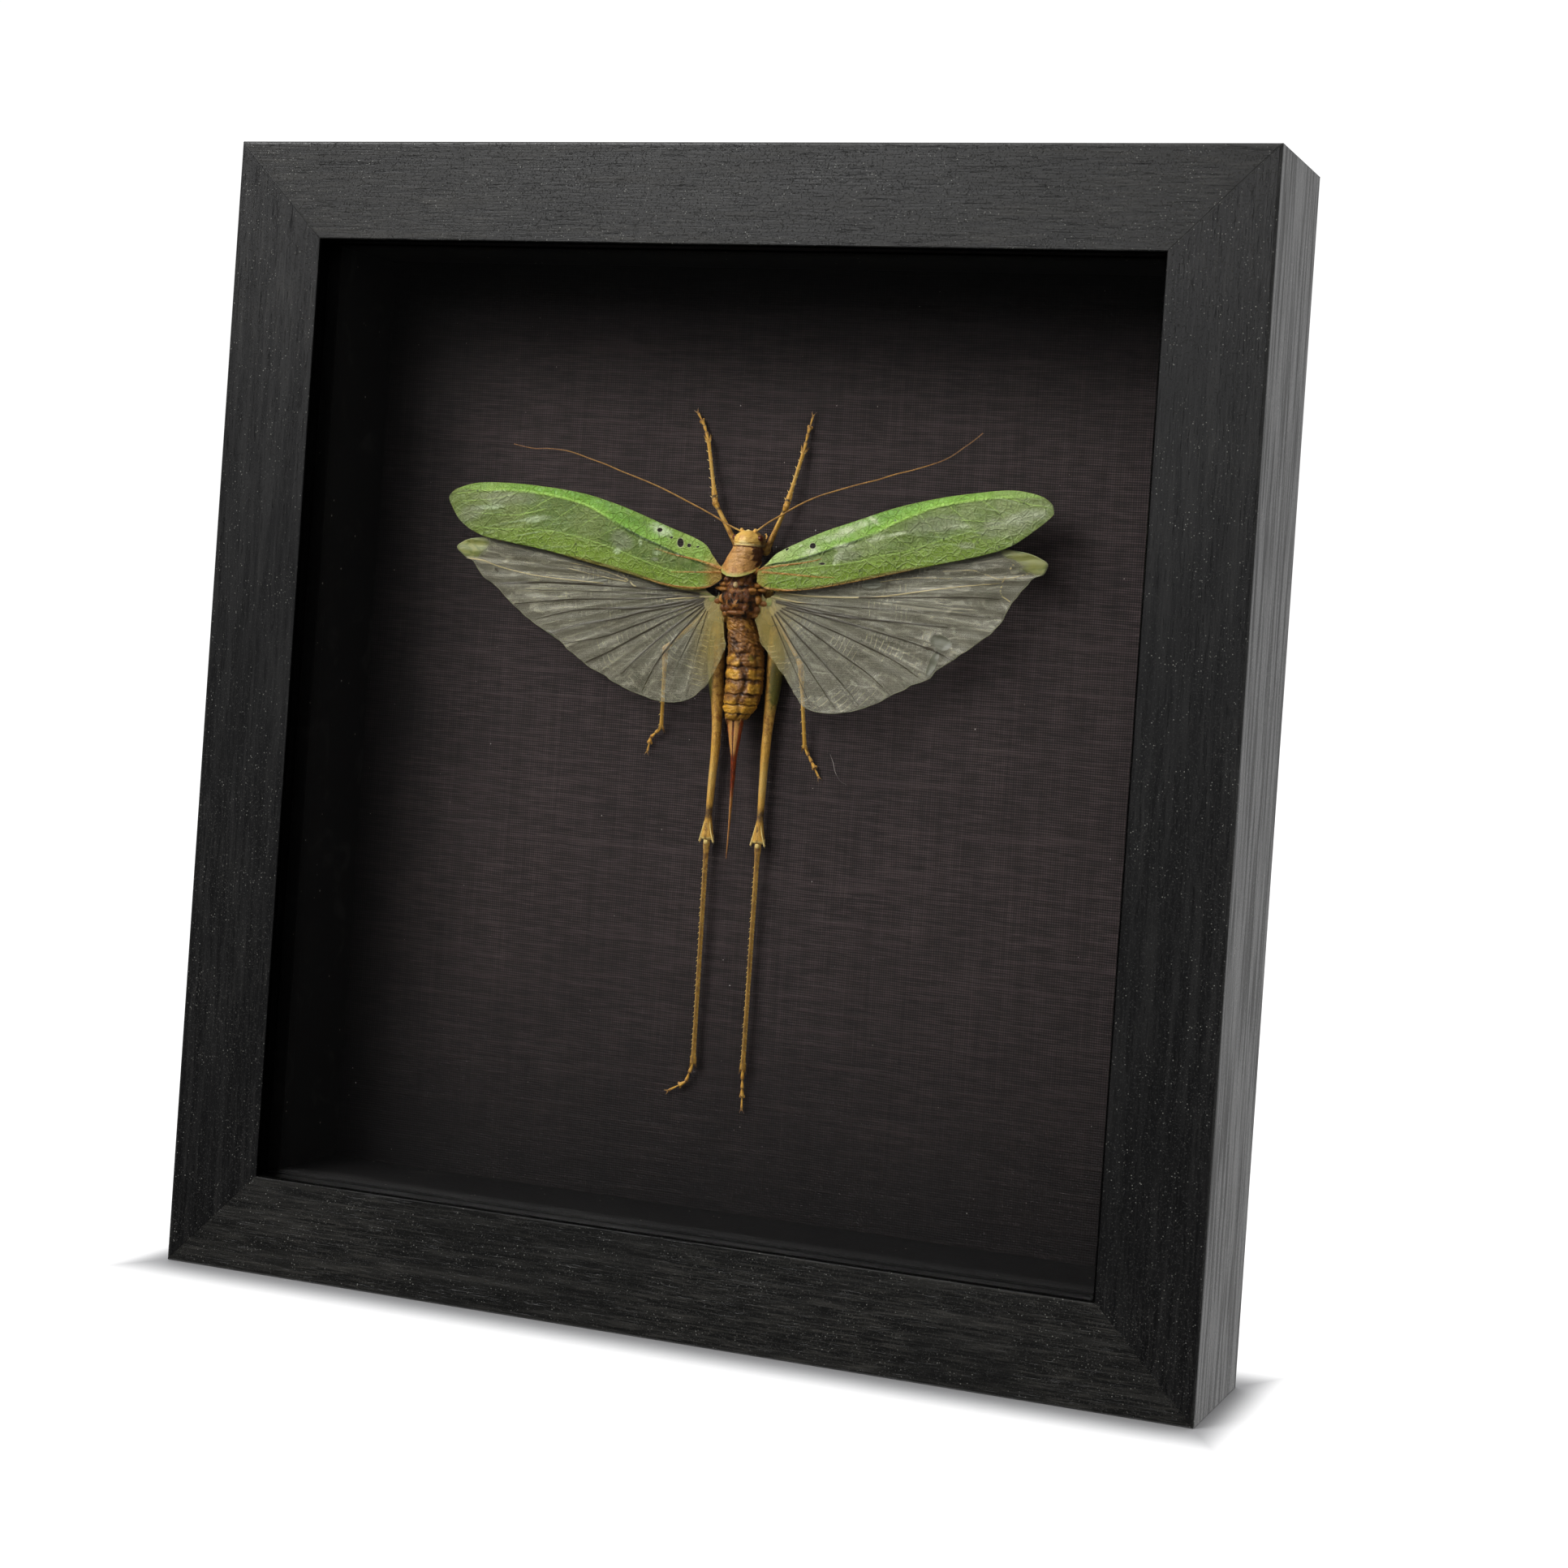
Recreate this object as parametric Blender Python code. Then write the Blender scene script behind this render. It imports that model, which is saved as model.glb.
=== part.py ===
"""A dried katydid, wings spread, fixed in a black wooden glazed case.

Units are metres and +Z is up. The origin is the middle of the base face, and the glazed
front faces -Y. The insect's own sizes are written in millimetres: x across the case,
h the height above the backing board, z up the case.
"""

import math

import bmesh
import bpy
import numpy as np

MM = 0.001

# Case
CASE_WIDTH = 0.203
CASE_HEIGHT = 0.217
CASE_DEPTH = 0.033
BAR_FACE = 0.019
BAR_WALL = 0.013
LIP_DEPTH = 0.004
EDGE_RADIUS = 0.0006
EDGE_STEPS = 3
GAP = 0.0003

# Layers behind the lip, from the front
GLASS_THICKNESS = 0.002
BOARD_FACE_DEPTH = 0.0282
BOARD_THICKNESS = 0.0013
PANEL_THICKNESS = 0.0014
SIDE_SPACER_PROUD = 0.0012

# Flat tabs that hold the back panel
TAB_WIDTH = 0.007
TAB_REACH = 0.008
TAB_EMBEDDED = 0.004
TAB_THICKNESS = 0.0004
TAB_SPACING = 0.11
TAB_POINT = 0.0025

# Sawtooth hanger in a shallow pocket in the back of the top rail
POCKET_LENGTH = 0.048
POCKET_HEIGHT = 0.0096
POCKET_DEPTH = 0.0022
HANGER_LENGTH = 0.045
HANGER_HEIGHT = 0.008
HANGER_THICKNESS = 0.0005
HANGER_RISE = 0.0008
HANGER_FOOT = 0.007
HANGER_TEETH = 9
TOOTH_PITCH = 0.0026
TOOTH_WIDTH = 0.0024
TOOTH_DEPTH = 0.0016
NAIL_HEAD_RADIUS = 0.0017
NAIL_HEAD_THICKNESS = 0.0005
NAIL_SHANK_RADIUS = 0.0006
NAIL_LENGTH = 0.008
NAIL_SIDES = 10

FRONT_Y = -CASE_DEPTH / 2
BACK_Y = CASE_DEPTH / 2
BOARD_Y = FRONT_Y + BOARD_FACE_DEPTH
PANEL_BACK_Y = BOARD_Y + BOARD_THICKNESS + GAP + PANEL_THICKNESS

# Insect, in millimetres: the line of the body, and thicknesses
BODY_X = 0.3
GLUE_RADIUS = 2.6
GLUE_HEIGHT = 1.0
GLUE_SHOULDER = 0.6
GLUE_TOP_RADIUS = 1.8
GLUE_Z = 135.5
GLUE_SIDES = 12
FOREWING_THICKNESS = 0.35
HINDWING_THICKNESS = 0.25

# Body stations: z, x, h of the middle, half width, half height
HEAD_STATIONS = (
    (144.8, BODY_X, 5.9, 2.3, 3.2),
    (145.4, BODY_X, 5.8, 2.8, 3.6),
    (146.2, BODY_X, 5.7, 2.9, 3.6),
    (147.0, BODY_X, 5.9, 2.5, 3.1),
    (147.6, BODY_X, 6.1, 1.9, 2.2),
    (147.9, BODY_X, 6.3, 0.9, 1.1),
)
PRONOTUM_STATIONS = (
    (144.4, BODY_X, 6.6, 2.4, 2.9),
    (143.6, BODY_X, 6.6, 2.7, 3.2),
    (142.3, BODY_X, 6.6, 2.8, 3.3),
    (141.0, BODY_X, 6.7, 3.2, 3.4),
    (140.1, BODY_X, 6.9, 3.4, 3.3),
    (139.5, BODY_X, 7.2, 2.8, 2.7),
    (139.2, BODY_X, 7.6, 1.7, 1.7),
)
THORAX_STATIONS = (
    (138.9, BODY_X, 6.2, 2.4, 2.9),
    (138.2, BODY_X, 5.8, 3.3, 3.6),
    (136.6, BODY_X, 5.6, 3.8, 4.0),
    (134.8, BODY_X, 5.6, 3.9, 4.0),
    (133.0, BODY_X, 5.4, 3.5, 3.7),
    (131.6, BODY_X, 5.1, 2.7, 3.1),
)
ABDOMEN_STATIONS = (
    (131.3, 0.3, 4.9, 2.5, 2.9),
    (129.5, 0.4, 4.6, 3.1, 3.3),
    (126.0, 0.7, 4.5, 3.6, 3.5),
    (122.0, 0.9, 4.5, 3.8, 3.5),
    (118.0, 1.0, 4.5, 3.7, 3.4),
    (115.2, 0.9, 4.6, 3.2, 3.0),
    (113.4, 0.6, 4.8, 2.4, 2.4),
    (112.4, 0.3, 4.9, 1.8, 1.8),
)
ABDOMEN_SEGMENTS = 9
ABDOMEN_RINGS = 3 * ABDOMEN_SEGMENTS + 1
ABDOMEN_GROOVE = 0.08
OVIPOSITOR_STATIONS = (
    (112.1, 0.1, 4.9, 1.6, 1.1),
    (108.5, 0.1, 4.9, 1.15, 1.0),
    (105.3, 0.2, 4.9, 0.7, 0.9),
    (99.5, 0.3, 4.9, 0.4, 0.7),
    (93.5, 0.3, 5.0, 0.28, 0.45),
    (86.2, 0.3, 5.2, 0.14, 0.16),
)
EYE_OFFSET = 2.4
EYE_HEIGHT = 6.9
EYE_Z = 146.5
EYE_RADIUS = 0.85

# Antennae, from the head to the tip: x, h, z
ANTENNA_LEFT = (
    (-1.2, 6.8, 148.0), (-7.3, 6.2, 150.8), (-17.3, 6.0, 155.0), (-31.3, 6.0, 159.6),
    (-41.9, 6.0, 161.7), (-49.5, 6.0, 162.3),
)
ANTENNA_RIGHT = (
    (2.2, 6.8, 148.1), (6.9, 6.2, 151.0), (12.8, 6.0, 154.4), (28.8, 6.0, 159.6),
    (37.7, 6.0, 162.5), (45.4, 6.0, 168.0),
)
ANTENNA_ROOT_RADIUS = 0.24
ANTENNA_TIP_RADIUS = 0.12

# Forewings, from the root to the tip: x, z of the leading and of the trailing edge
FOREWING_LEFT_LEAD = (
    (-3.9, 142.3), (-7.8, 145.3), (-16.0, 148.2), (-24.3, 151.1), (-32.6, 153.2),
    (-41.0, 154.2), (-49.2, 154.6), (-55.4, 154.4), (-59.6, 153.3), (-61.4, 152.3), (-61.8, 151.2),
)
FOREWING_LEFT_TRAIL = (
    (-4.0, 137.3), (-9.7, 136.1), (-15.1, 136.7), (-23.3, 138.6), (-31.7, 140.3),
    (-40.1, 142.0), (-48.4, 143.2), (-54.1, 144.2), (-58.5, 146.4), (-61.2, 149.7), (-61.8, 151.2),
)
FOREWING_RIGHT_LEAD = (
    (4.5, 142.0), (8.1, 145.1), (15.2, 147.9), (22.5, 150.7), (29.9, 153.4),
    (37.3, 155.4), (44.7, 156.8), (52.2, 157.7), (57.4, 157.0), (59.7, 155.7), (60.3, 154.4),
)
FOREWING_RIGHT_TRAIL = (
    (4.6, 137.2), (8.7, 136.9), (15.9, 137.8), (23.3, 139.5), (30.8, 141.4),
    (38.2, 143.3), (46.0, 145.2), (52.4, 147.4), (57.2, 150.8), (60.1, 153.4), (60.3, 154.4),
)
FOREWING_HEIGHT = 7.9
FOREWING_CAMBER = 0.5
FOREWING_STEPS = 26
FOREWING_CROSS_STEPS = 5

# Hindwings: the root, then the margin from the leading edge round to the inner edge
HINDWING_LEFT_ROOT = (-4.6, 135.4)
HINDWING_LEFT_MARGIN = (
    (-52.5, 144.2), (-57.5, 143.5), (-59.8, 141.9), (-56.3, 139.0), (-50.2, 134.1),
    (-44.0, 128.8), (-36.5, 124.8), (-28.5, 119.8), (-20.0, 115.8), (-12.6, 114.8),
    (-8.0, 116.2), (-5.2, 119.0), (-4.9, 126.0),
)
HINDWING_RIGHT_ROOT = (5.0, 135.8)
HINDWING_RIGHT_MARGIN = (
    (51.5, 147.0), (57.5, 146.0), (59.4, 144.2), (55.6, 140.4), (51.6, 134.3),
    (47.2, 129.6), (40.6, 124.8), (34.4, 120.7), (27.0, 116.9), (21.0, 115.1),
    (14.6, 115.8), (10.5, 120.8), (6.6, 127.0),
)
HINDWING_HEIGHT = 6.5
HINDWING_LEAD_BULGE = 1.2
HINDWING_RAYS = 31
HINDWING_STEPS = 5
HINDWING_PLEAT = 0.2

# Legs: hip, knee, ankle, instep and toe, as x, h, z. A hind leg starts with its coxa.
FORELEG_LEFT = (
    (-2.4, 2.0, 144.0), (-7.9, 2.4, 153.0), (-10.7, 1.3, 165.0), (-11.9, 1.0, 167.8), (-13.5, 0.8, 170.2),
)
FORELEG_RIGHT = (
    (2.8, 2.0, 144.0), (6.6, 2.4, 153.1), (8.9, 1.3, 163.6), (9.4, 1.0, 167.0), (10.1, 0.8, 170.4),
)
MIDLEG_LEFT = (
    (-3.9, 3.6, 135.4), (-15.3, 4.4, 124.8), (-16.4, 1.3, 109.6), (-18.6, 1.0, 107.6), (-19.2, 0.8, 104.8),
)
MIDLEG_RIGHT = (
    (4.6, 3.6, 135.6), (12.5, 4.4, 123.3), (13.2, 1.3, 108.0), (14.7, 1.0, 105.4), (16.2, 0.8, 102.7),
)
HINDLEG_LEFT = (
    (-5.2, 2.4, 130.4), (-5.1, 2.0, 89.3), (-5.0, 1.4, 46.6), (-6.4, 1.0, 42.8), (-10.1, 0.8, 40.6),
)
HINDLEG_RIGHT = (
    (6.0, 2.4, 130.4), (5.4, 2.0, 89.4), (5.2, 1.4, 46.6), (5.2, 1.0, 42.8), (5.3, 0.8, 38.9),
)
COXA_LEFT = (-3.5, 2.2, 132.4)
COXA_RIGHT = (4.1, 2.2, 132.4)

# Leg profiles: share of the segment's length, half width, half thickness, and for the
# thick hind femur how far the middle stands away from the body
SLIM_FEMUR = ((0.0, 0.75, 0.75), (0.3, 0.7, 0.7), (0.8, 0.5, 0.5), (0.96, 0.62, 0.55))
SLIM_TIBIA = ((0.05, 0.5, 0.5), (0.16, 0.62, 0.55), (0.3, 0.42, 0.42), (0.95, 0.38, 0.38))
HEEL = ((0.1, 0.42, 0.36), (0.55, 0.32, 0.3), (0.75, 0.46, 0.36))
TOE = ((0.1, 0.3, 0.28), (0.3, 0.4, 0.34), (0.85, 0.24, 0.24), (1.0, 0.34, 0.2))
COXA = ((0.0, 0.6, 0.6), (0.3, 0.9, 0.9))
HIND_FEMUR = (
    (0.0, 1.2, 1.2, 0.2), (0.06, 1.5, 1.45, 0.5), (0.15, 1.65, 1.6, 0.7), (0.27, 1.5, 1.5, 0.6),
    (0.42, 1.15, 1.15, 0.2), (0.58, 0.92, 0.95), (0.8, 0.72, 0.8), (0.92, 0.8, 0.85),
    (0.96, 1.05, 0.95), (0.99, 1.45, 0.9),
)
HIND_TIBIA_START = (0.004, 0.55, 0.6)
HIND_TIBIA_HALF = 0.58
HIND_TIBIA_END = (0.985, 0.7, 0.62)
SPINE_COUNT = 12
SPINE_FIRST = 0.24
SPINE_LAST = 0.94
SPINE_BASE = 0.008
SPINE_LENGTH = 0.45
LEG_SIDES = 6

# Colours and finishes: red, green, blue, roughness, metallic
FINISHES = {
    "stained_wood": (0.035, 0.035, 0.037, 0.55, 0.0),
    "clear_glass": (0.9, 0.95, 0.93, 0.03, 0.0),
    "black_paper": (0.012, 0.012, 0.013, 0.9, 0.0),
    "black_cloth": (0.03, 0.026, 0.028, 0.9, 0.0),
    "fibre_board": (0.03, 0.028, 0.027, 0.8, 0.0),
    "steel": (0.6, 0.6, 0.6, 0.35, 1.0),
    "glue": (0.6, 0.5, 0.3, 0.4, 0.0),
    "tan_shell": (0.42, 0.22, 0.09, 0.45, 0.0),
    "brown_shell": (0.16, 0.07, 0.025, 0.35, 0.0),
    "green_wing": (0.18, 0.42, 0.07, 0.5, 0.0),
    "grey_wing": (0.3, 0.33, 0.28, 0.45, 0.0),
    "ochre_leg": (0.45, 0.27, 0.07, 0.4, 0.0),
}


def clear_scene():
    """Remove every object that the file holds."""
    for item in list(bpy.data.objects):
        bpy.data.objects.remove(item, do_unlink=True)


def material(name):
    """The Principled material of one finish, made once."""
    found = bpy.data.materials.get(name)
    if found:
        return found
    red, green, blue, roughness, metallic = FINISHES[name]
    made = bpy.data.materials.new(name)
    made.use_nodes = True
    shader = made.node_tree.nodes["Principled BSDF"]
    shader.inputs["Base Color"].default_value = (red, green, blue, 1.0)
    shader.inputs["Roughness"].default_value = roughness
    shader.inputs["Metallic"].default_value = metallic
    return made


def add_object(name, bm, finish, smooth_angle=None):
    """Turn a bmesh into a named object with one finish."""
    bmesh.ops.recalc_face_normals(bm, faces=bm.faces)
    mesh = bpy.data.meshes.new(name)
    bm.to_mesh(mesh)
    bm.free()
    if smooth_angle is not None:
        mesh.shade_smooth()
        mesh.set_sharp_from_angle(angle=math.radians(smooth_angle))
    made = bpy.data.objects.new(name, mesh)
    mesh.materials.append(material(finish))
    bpy.context.scene.collection.objects.link(made)
    return made


def hidden(item):
    """Mark a helper shape, so that it isn't a piece of the model."""
    item.hide_render = True
    item.display_type = "WIRE"
    return item


def combine(target, helper, operation):
    """Cut a helper shape from the target, or fuse it to the target."""
    modifier = target.modifiers.new(helper.name, "BOOLEAN")
    modifier.operation = operation
    modifier.solver = "EXACT"
    modifier.object = hidden(helper)


def add_box(bm, low, high):
    """Add a box between two corners."""
    made = bmesh.ops.create_cube(bm, size=1.0)["verts"]
    low, high = np.array(low), np.array(high)
    for vert in made:
        vert.co = low + (np.array(vert.co) + 0.5) * (high - low)


def box_object(name, low, high, finish):
    """A plain rectangular piece between two corners."""
    bm = bmesh.new()
    add_box(bm, low, high)
    return add_object(name, bm, finish)


def add_rings(bm, rings):
    """Skin a stack of closed rings and cap both ends. Returns the faces, row by row."""
    rows = [[bm.verts.new(point) for point in ring] for ring in rings]
    sides = len(rows[0])
    faces = []
    for low, high in zip(rows, rows[1:]):
        for i in range(sides):
            j = (i + 1) % sides
            faces.append(bm.faces.new((low[i], low[j], high[j], high[i])))
    bm.faces.new(reversed(rows[0]))
    bm.faces.new(rows[-1])
    return faces


def smooth(points, count):
    """A smooth curve through the points, read at evenly spaced steps of its parameter."""
    p = np.asarray(points, float)
    p = np.vstack([2 * p[0] - p[1], p, 2 * p[-1] - p[-2]])
    t = np.linspace(0, len(p) - 3, count)
    i = np.minimum(t.astype(int), len(p) - 4)
    f = (t - i)[:, None]
    a, b, c, d = p[i], p[i + 1], p[i + 2], p[i + 3]
    bend = (2 * a - 5 * b + 4 * c - d) * f**2 + (3 * b - a - 3 * c + d) * f**3
    return 0.5 * (2 * b + (c - a) * f + bend)


def in_case(x, h, z):
    """Insect millimetres to metres in the case: h is measured off the board."""
    x, h, z = np.broadcast_arrays(x, h, z)
    return np.stack([x * MM, BOARD_Y - h * MM, z * MM], axis=-1)


def rounded_profile():
    """Section of the moulding: inset from the outside, and depth, with eased corners."""
    corners = (
        (0.0, FRONT_Y, True), (BAR_FACE, FRONT_Y, True), (BAR_FACE, FRONT_Y + LIP_DEPTH, True),
        (BAR_WALL, FRONT_Y + LIP_DEPTH, False), (BAR_WALL, BACK_Y, False), (0.0, BACK_Y, True),
    )
    points = []
    for i, (inset, y, eased) in enumerate(corners):
        here = np.array([inset, y])
        if not eased:
            points.append(here)
            continue
        before = np.array(corners[i - 1][:2]) - here
        after = np.array(corners[(i + 1) % len(corners)][:2]) - here
        before /= np.linalg.norm(before)
        after /= np.linalg.norm(after)
        centre = here + EDGE_RADIUS * (before + after)
        for turn in np.linspace(0.0, math.pi / 2, EDGE_STEPS + 1):
            points.append(centre - EDGE_RADIUS * (math.sin(turn) * before + math.cos(turn) * after))
    return np.array(points)


def mitred_bar(name, side):
    """One bar of the frame, cut at 45 degrees at both ends. side is an (x, z) direction."""
    across, up = side
    profile = rounded_profile()
    half = (CASE_HEIGHT if across else CASE_WIDTH) / 2
    mitre_back = GAP / math.sqrt(2)
    rings = []
    for end in (-1, 1):
        along = end * (half - profile[:, 0] - mitre_back)
        if across:
            x = across * (CASE_WIDTH / 2 - profile[:, 0])
            z = CASE_HEIGHT / 2 + along
        else:
            x = along
            z = CASE_HEIGHT / 2 + up * (CASE_HEIGHT / 2 - profile[:, 0])
        rings.append(np.stack([x, profile[:, 1], z], axis=-1))
    bm = bmesh.new()
    add_rings(bm, rings)
    return add_object(name, bm, "stained_wood", smooth_angle=40)


def layers():
    """Glass, spacers, cloth-covered board and back panel, from the front."""
    wall = BAR_WALL + GAP
    x, low, high = CASE_WIDTH / 2 - wall, wall, CASE_HEIGHT - wall
    glass_y = FRONT_Y + LIP_DEPTH + GAP
    spacer_y = glass_y + GLASS_THICKNESS + GAP
    spacer_back = BOARD_Y - GAP
    box_object("glass_pane", (-x, glass_y, low), (x, glass_y + GLASS_THICKNESS, high), "clear_glass")
    thick = BAR_FACE - wall
    side_thick = thick + SIDE_SPACER_PROUD
    paper = "black_paper"
    box_object("spacer_bottom", (-x, spacer_y, low), (x, spacer_back, low + thick), paper)
    box_object("spacer_top", (-x, spacer_y, high - thick), (x, spacer_back, high), paper)
    low_in, high_in = low + thick + GAP, high - thick - GAP
    box_object("spacer_left", (-x, spacer_y, low_in), (side_thick - x, spacer_back, high_in), paper)
    box_object("spacer_right", (x - side_thick, spacer_y, low_in), (x, spacer_back, high_in), paper)
    box_object("mount_board", (-x, BOARD_Y, low), (x, BOARD_Y + BOARD_THICKNESS, high), "black_cloth")
    panel_y = BOARD_Y + BOARD_THICKNESS + GAP
    box_object("back_panel", (-x, panel_y, low), (x, PANEL_BACK_Y, high), "fibre_board")


def tab_places():
    """Side and position along the bar of each tab: two to a bar."""
    for side in ((0, 1), (0, -1), (-1, 0), (1, 0)):
        for along in (-TAB_SPACING / 2, TAB_SPACING / 2):
            yield side, along


def place_on_side(points, side, along):
    """Points as inset from the outside, depth and place along a bar, to case coordinates."""
    inset, y, step = points[:, 0], points[:, 1], points[:, 2] + along
    across, up = side
    middle = CASE_HEIGHT / 2
    if across:
        return np.stack([across * (CASE_WIDTH / 2 - inset), y, middle + step], axis=-1)
    return np.stack([step, y, middle + up * (CASE_HEIGHT / 2 - inset)], axis=-1)


def plate_rings(outline, low_y, high_y):
    """Two rings of a flat plate from its outline of inset and place along the bar."""
    outline = np.array(outline)
    return [np.insert(outline, 1, y, axis=1) for y in (low_y, high_y)]


def tab_outline():
    """A tab from above: square in the wood, and pointed over the panel."""
    start, end = BAR_WALL - TAB_EMBEDDED, BAR_WALL + TAB_REACH
    half = TAB_WIDTH / 2
    return (
        (start, -half), (end - TAB_POINT, -half), (end, -half / 3), (end, half / 3),
        (end - TAB_POINT, half), (start, half),
    )


def slot_outline():
    """The slot in the wood that takes a tab, with a gap all round."""
    half = TAB_WIDTH / 2 + GAP
    start, end = BAR_WALL - TAB_EMBEDDED - GAP, BAR_WALL + GAP
    return ((start, -half), (end, -half), (end, half), (start, half))


def retainers(bars):
    """Eight tabs pushed into slots in the bars, just behind the back panel."""
    tab_y = PANEL_BACK_Y + GAP
    tab_rings = plate_rings(tab_outline(), tab_y, tab_y + TAB_THICKNESS)
    slot_rings = plate_rings(slot_outline(), tab_y - GAP, tab_y + TAB_THICKNESS + GAP)
    for number, (side, along) in enumerate(tab_places(), start=1):
        tab, slot = bmesh.new(), bmesh.new()
        add_rings(tab, [place_on_side(ring, side, along) for ring in tab_rings])
        add_object(f"retainer_tab_{number}", tab, "steel")
        add_rings(slot, [place_on_side(ring, side, along) for ring in slot_rings])
        combine(bars[side], add_object(f"tab_slot_{number}", slot, "stained_wood"), "DIFFERENCE")


def add_disc(bm, x, z, radius, low_y, high_y):
    """Add a short round bar that points along Y."""
    turn = np.arange(NAIL_SIDES) * 2 * math.pi / NAIL_SIDES
    ring = [x + radius * np.cos(turn), z + radius * np.sin(turn)]
    add_rings(bm, [np.stack([ring[0], np.full(NAIL_SIDES, y), ring[1]], -1) for y in (low_y, high_y)])


def hanger(top_rail):
    """Sawtooth hanger, bent out over its middle, nailed down in a pocket at both ends."""
    z = CASE_HEIGHT - BAR_WALL / 2
    floor_y = BACK_Y - POCKET_DEPTH
    pocket = box_object(
        "hanger_pocket", (-POCKET_LENGTH / 2, floor_y, z - POCKET_HEIGHT / 2),
        (POCKET_LENGTH / 2, BACK_Y + GAP, z + POCKET_HEIGHT / 2), "stained_wood",
    )
    combine(top_rail, pocket, "DIFFERENCE")
    foot_y = floor_y + GAP
    half, bend = HANGER_LENGTH / 2, HANGER_LENGTH / 2 - HANGER_FOOT
    path = (
        (-half, 0.0), (-bend, 0.0), (-bend + HANGER_RISE, HANGER_RISE),
        (bend - HANGER_RISE, HANGER_RISE), (bend, 0.0), (half, 0.0),
    )
    rings = []
    for x, rise in path:
        low_y, high_y = foot_y + rise, foot_y + rise + HANGER_THICKNESS
        low_z, high_z = z - HANGER_HEIGHT / 2, z + HANGER_HEIGHT / 2
        rings.append(((x, low_y, low_z), (x, high_y, low_z), (x, high_y, high_z), (x, low_y, high_z)))
    strip = bmesh.new()
    add_rings(strip, rings)
    plate = add_object("sawtooth_hanger", strip, "steel")
    notches = bmesh.new()
    low_z = z - HANGER_HEIGHT / 2
    for i in range(HANGER_TEETH):
        x = (i - (HANGER_TEETH - 1) / 2) * TOOTH_PITCH
        triangle = (
            (x - TOOTH_WIDTH / 2, low_z - GAP), (x + TOOTH_WIDTH / 2, low_z - GAP),
            (x, low_z + TOOTH_DEPTH),
        )
        add_rings(notches, [[(a, y, b) for a, b in triangle] for y in (floor_y, BACK_Y)])
    combine(plate, add_object("hanger_notches", notches, "steel"), "DIFFERENCE")
    for side, name in ((-1, "left"), (1, "right")):
        x = side * (half - HANGER_FOOT / 2)
        nail, plate_hole, wood_hole = bmesh.new(), bmesh.new(), bmesh.new()
        tip_y = foot_y - NAIL_LENGTH
        head_y = foot_y + HANGER_THICKNESS + GAP
        add_disc(nail, x, z, NAIL_SHANK_RADIUS, tip_y, head_y + NAIL_HEAD_THICKNESS / 2)
        add_disc(plate_hole, x, z, NAIL_SHANK_RADIUS + GAP, tip_y, BACK_Y)
        add_disc(wood_hole, x, z, NAIL_SHANK_RADIUS + GAP, tip_y - GAP, BACK_Y)
        body = add_object(f"hanger_nail_{name}", nail, "steel")
        head = bmesh.new()
        add_disc(head, x, z, NAIL_HEAD_RADIUS, head_y, head_y + NAIL_HEAD_THICKNESS)
        combine(body, add_object(f"nail_head_{name}", head, "steel"), "UNION")
        combine(plate, add_object(f"plate_hole_{name}", plate_hole, "steel"), "DIFFERENCE")
        combine(top_rail, add_object(f"wood_hole_{name}", wood_hole, "stained_wood"), "DIFFERENCE")


def body_rings(stations, count, sides, segments, groove):
    """Elliptical rings along the body, drawn in by a share where two segments meet."""
    z, x, h, half_width, half_height = smooth(stations, count).T
    turn = (np.arange(sides) + 0.5) * 2 * math.pi / sides
    travel = np.linspace(0, segments, count)
    swell = 1 - groove * np.abs(np.cos(math.pi * travel)) ** 3
    rings = []
    for i in range(count):
        ring_x = x[i] + swell[i] * half_width[i] * np.cos(turn)
        ring_h = h[i] + swell[i] * half_height[i] * np.sin(turn)
        rings.append(in_case(ring_x, ring_h, z[i]))
    return rings


def body_piece(name, finish, stations, count, sides, segments=0, groove=0.0):
    """One closed piece of the insect's body."""
    bm = bmesh.new()
    add_rings(bm, body_rings(stations, count, sides, segments, groove))
    return add_object(name, bm, finish, smooth_angle=50)


def eyes(head):
    """The two round eyes, fused to the head."""
    for side, name in ((-1, "left"), (1, "right")):
        eye = bmesh.new()
        bmesh.ops.create_icosphere(eye, subdivisions=1, radius=EYE_RADIUS * MM)
        place = in_case(BODY_X + side * EYE_OFFSET, EYE_HEIGHT, EYE_Z)
        bmesh.ops.translate(eye, verts=eye.verts, vec=place)
        combine(head, add_object(f"eye_{name}", eye, "brown_shell"), "UNION")


def glue_dab():
    """The low round dab between the thorax and the board."""
    turn = np.arange(GLUE_SIDES) * 2 * math.pi / GLUE_SIDES
    levels = ((GLUE_RADIUS, GAP / MM), (GLUE_RADIUS, GLUE_SHOULDER), (GLUE_TOP_RADIUS, GLUE_HEIGHT))
    rings = []
    for radius, h in levels:
        rings.append(in_case(BODY_X + radius * np.cos(turn), h, GLUE_Z + radius * np.sin(turn)))
    bm = bmesh.new()
    add_rings(bm, rings)
    add_object("mounting_glue", bm, "glue")


def body():
    """Head with its eyes, pronotum, thorax, abdomen and ovipositor."""
    eyes(body_piece("head", "tan_shell", HEAD_STATIONS, count=9, sides=12))
    body_piece("pronotum", "tan_shell", PRONOTUM_STATIONS, count=11, sides=14)
    body_piece("thorax", "brown_shell", THORAX_STATIONS, count=10, sides=14)
    body_piece(
        "abdomen", "brown_shell", ABDOMEN_STATIONS, ABDOMEN_RINGS, sides=12,
        segments=ABDOMEN_SEGMENTS, groove=ABDOMEN_GROOVE,
    )
    body_piece("ovipositor", "tan_shell", OVIPOSITOR_STATIONS, count=11, sides=6)
    glue_dab()


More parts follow.
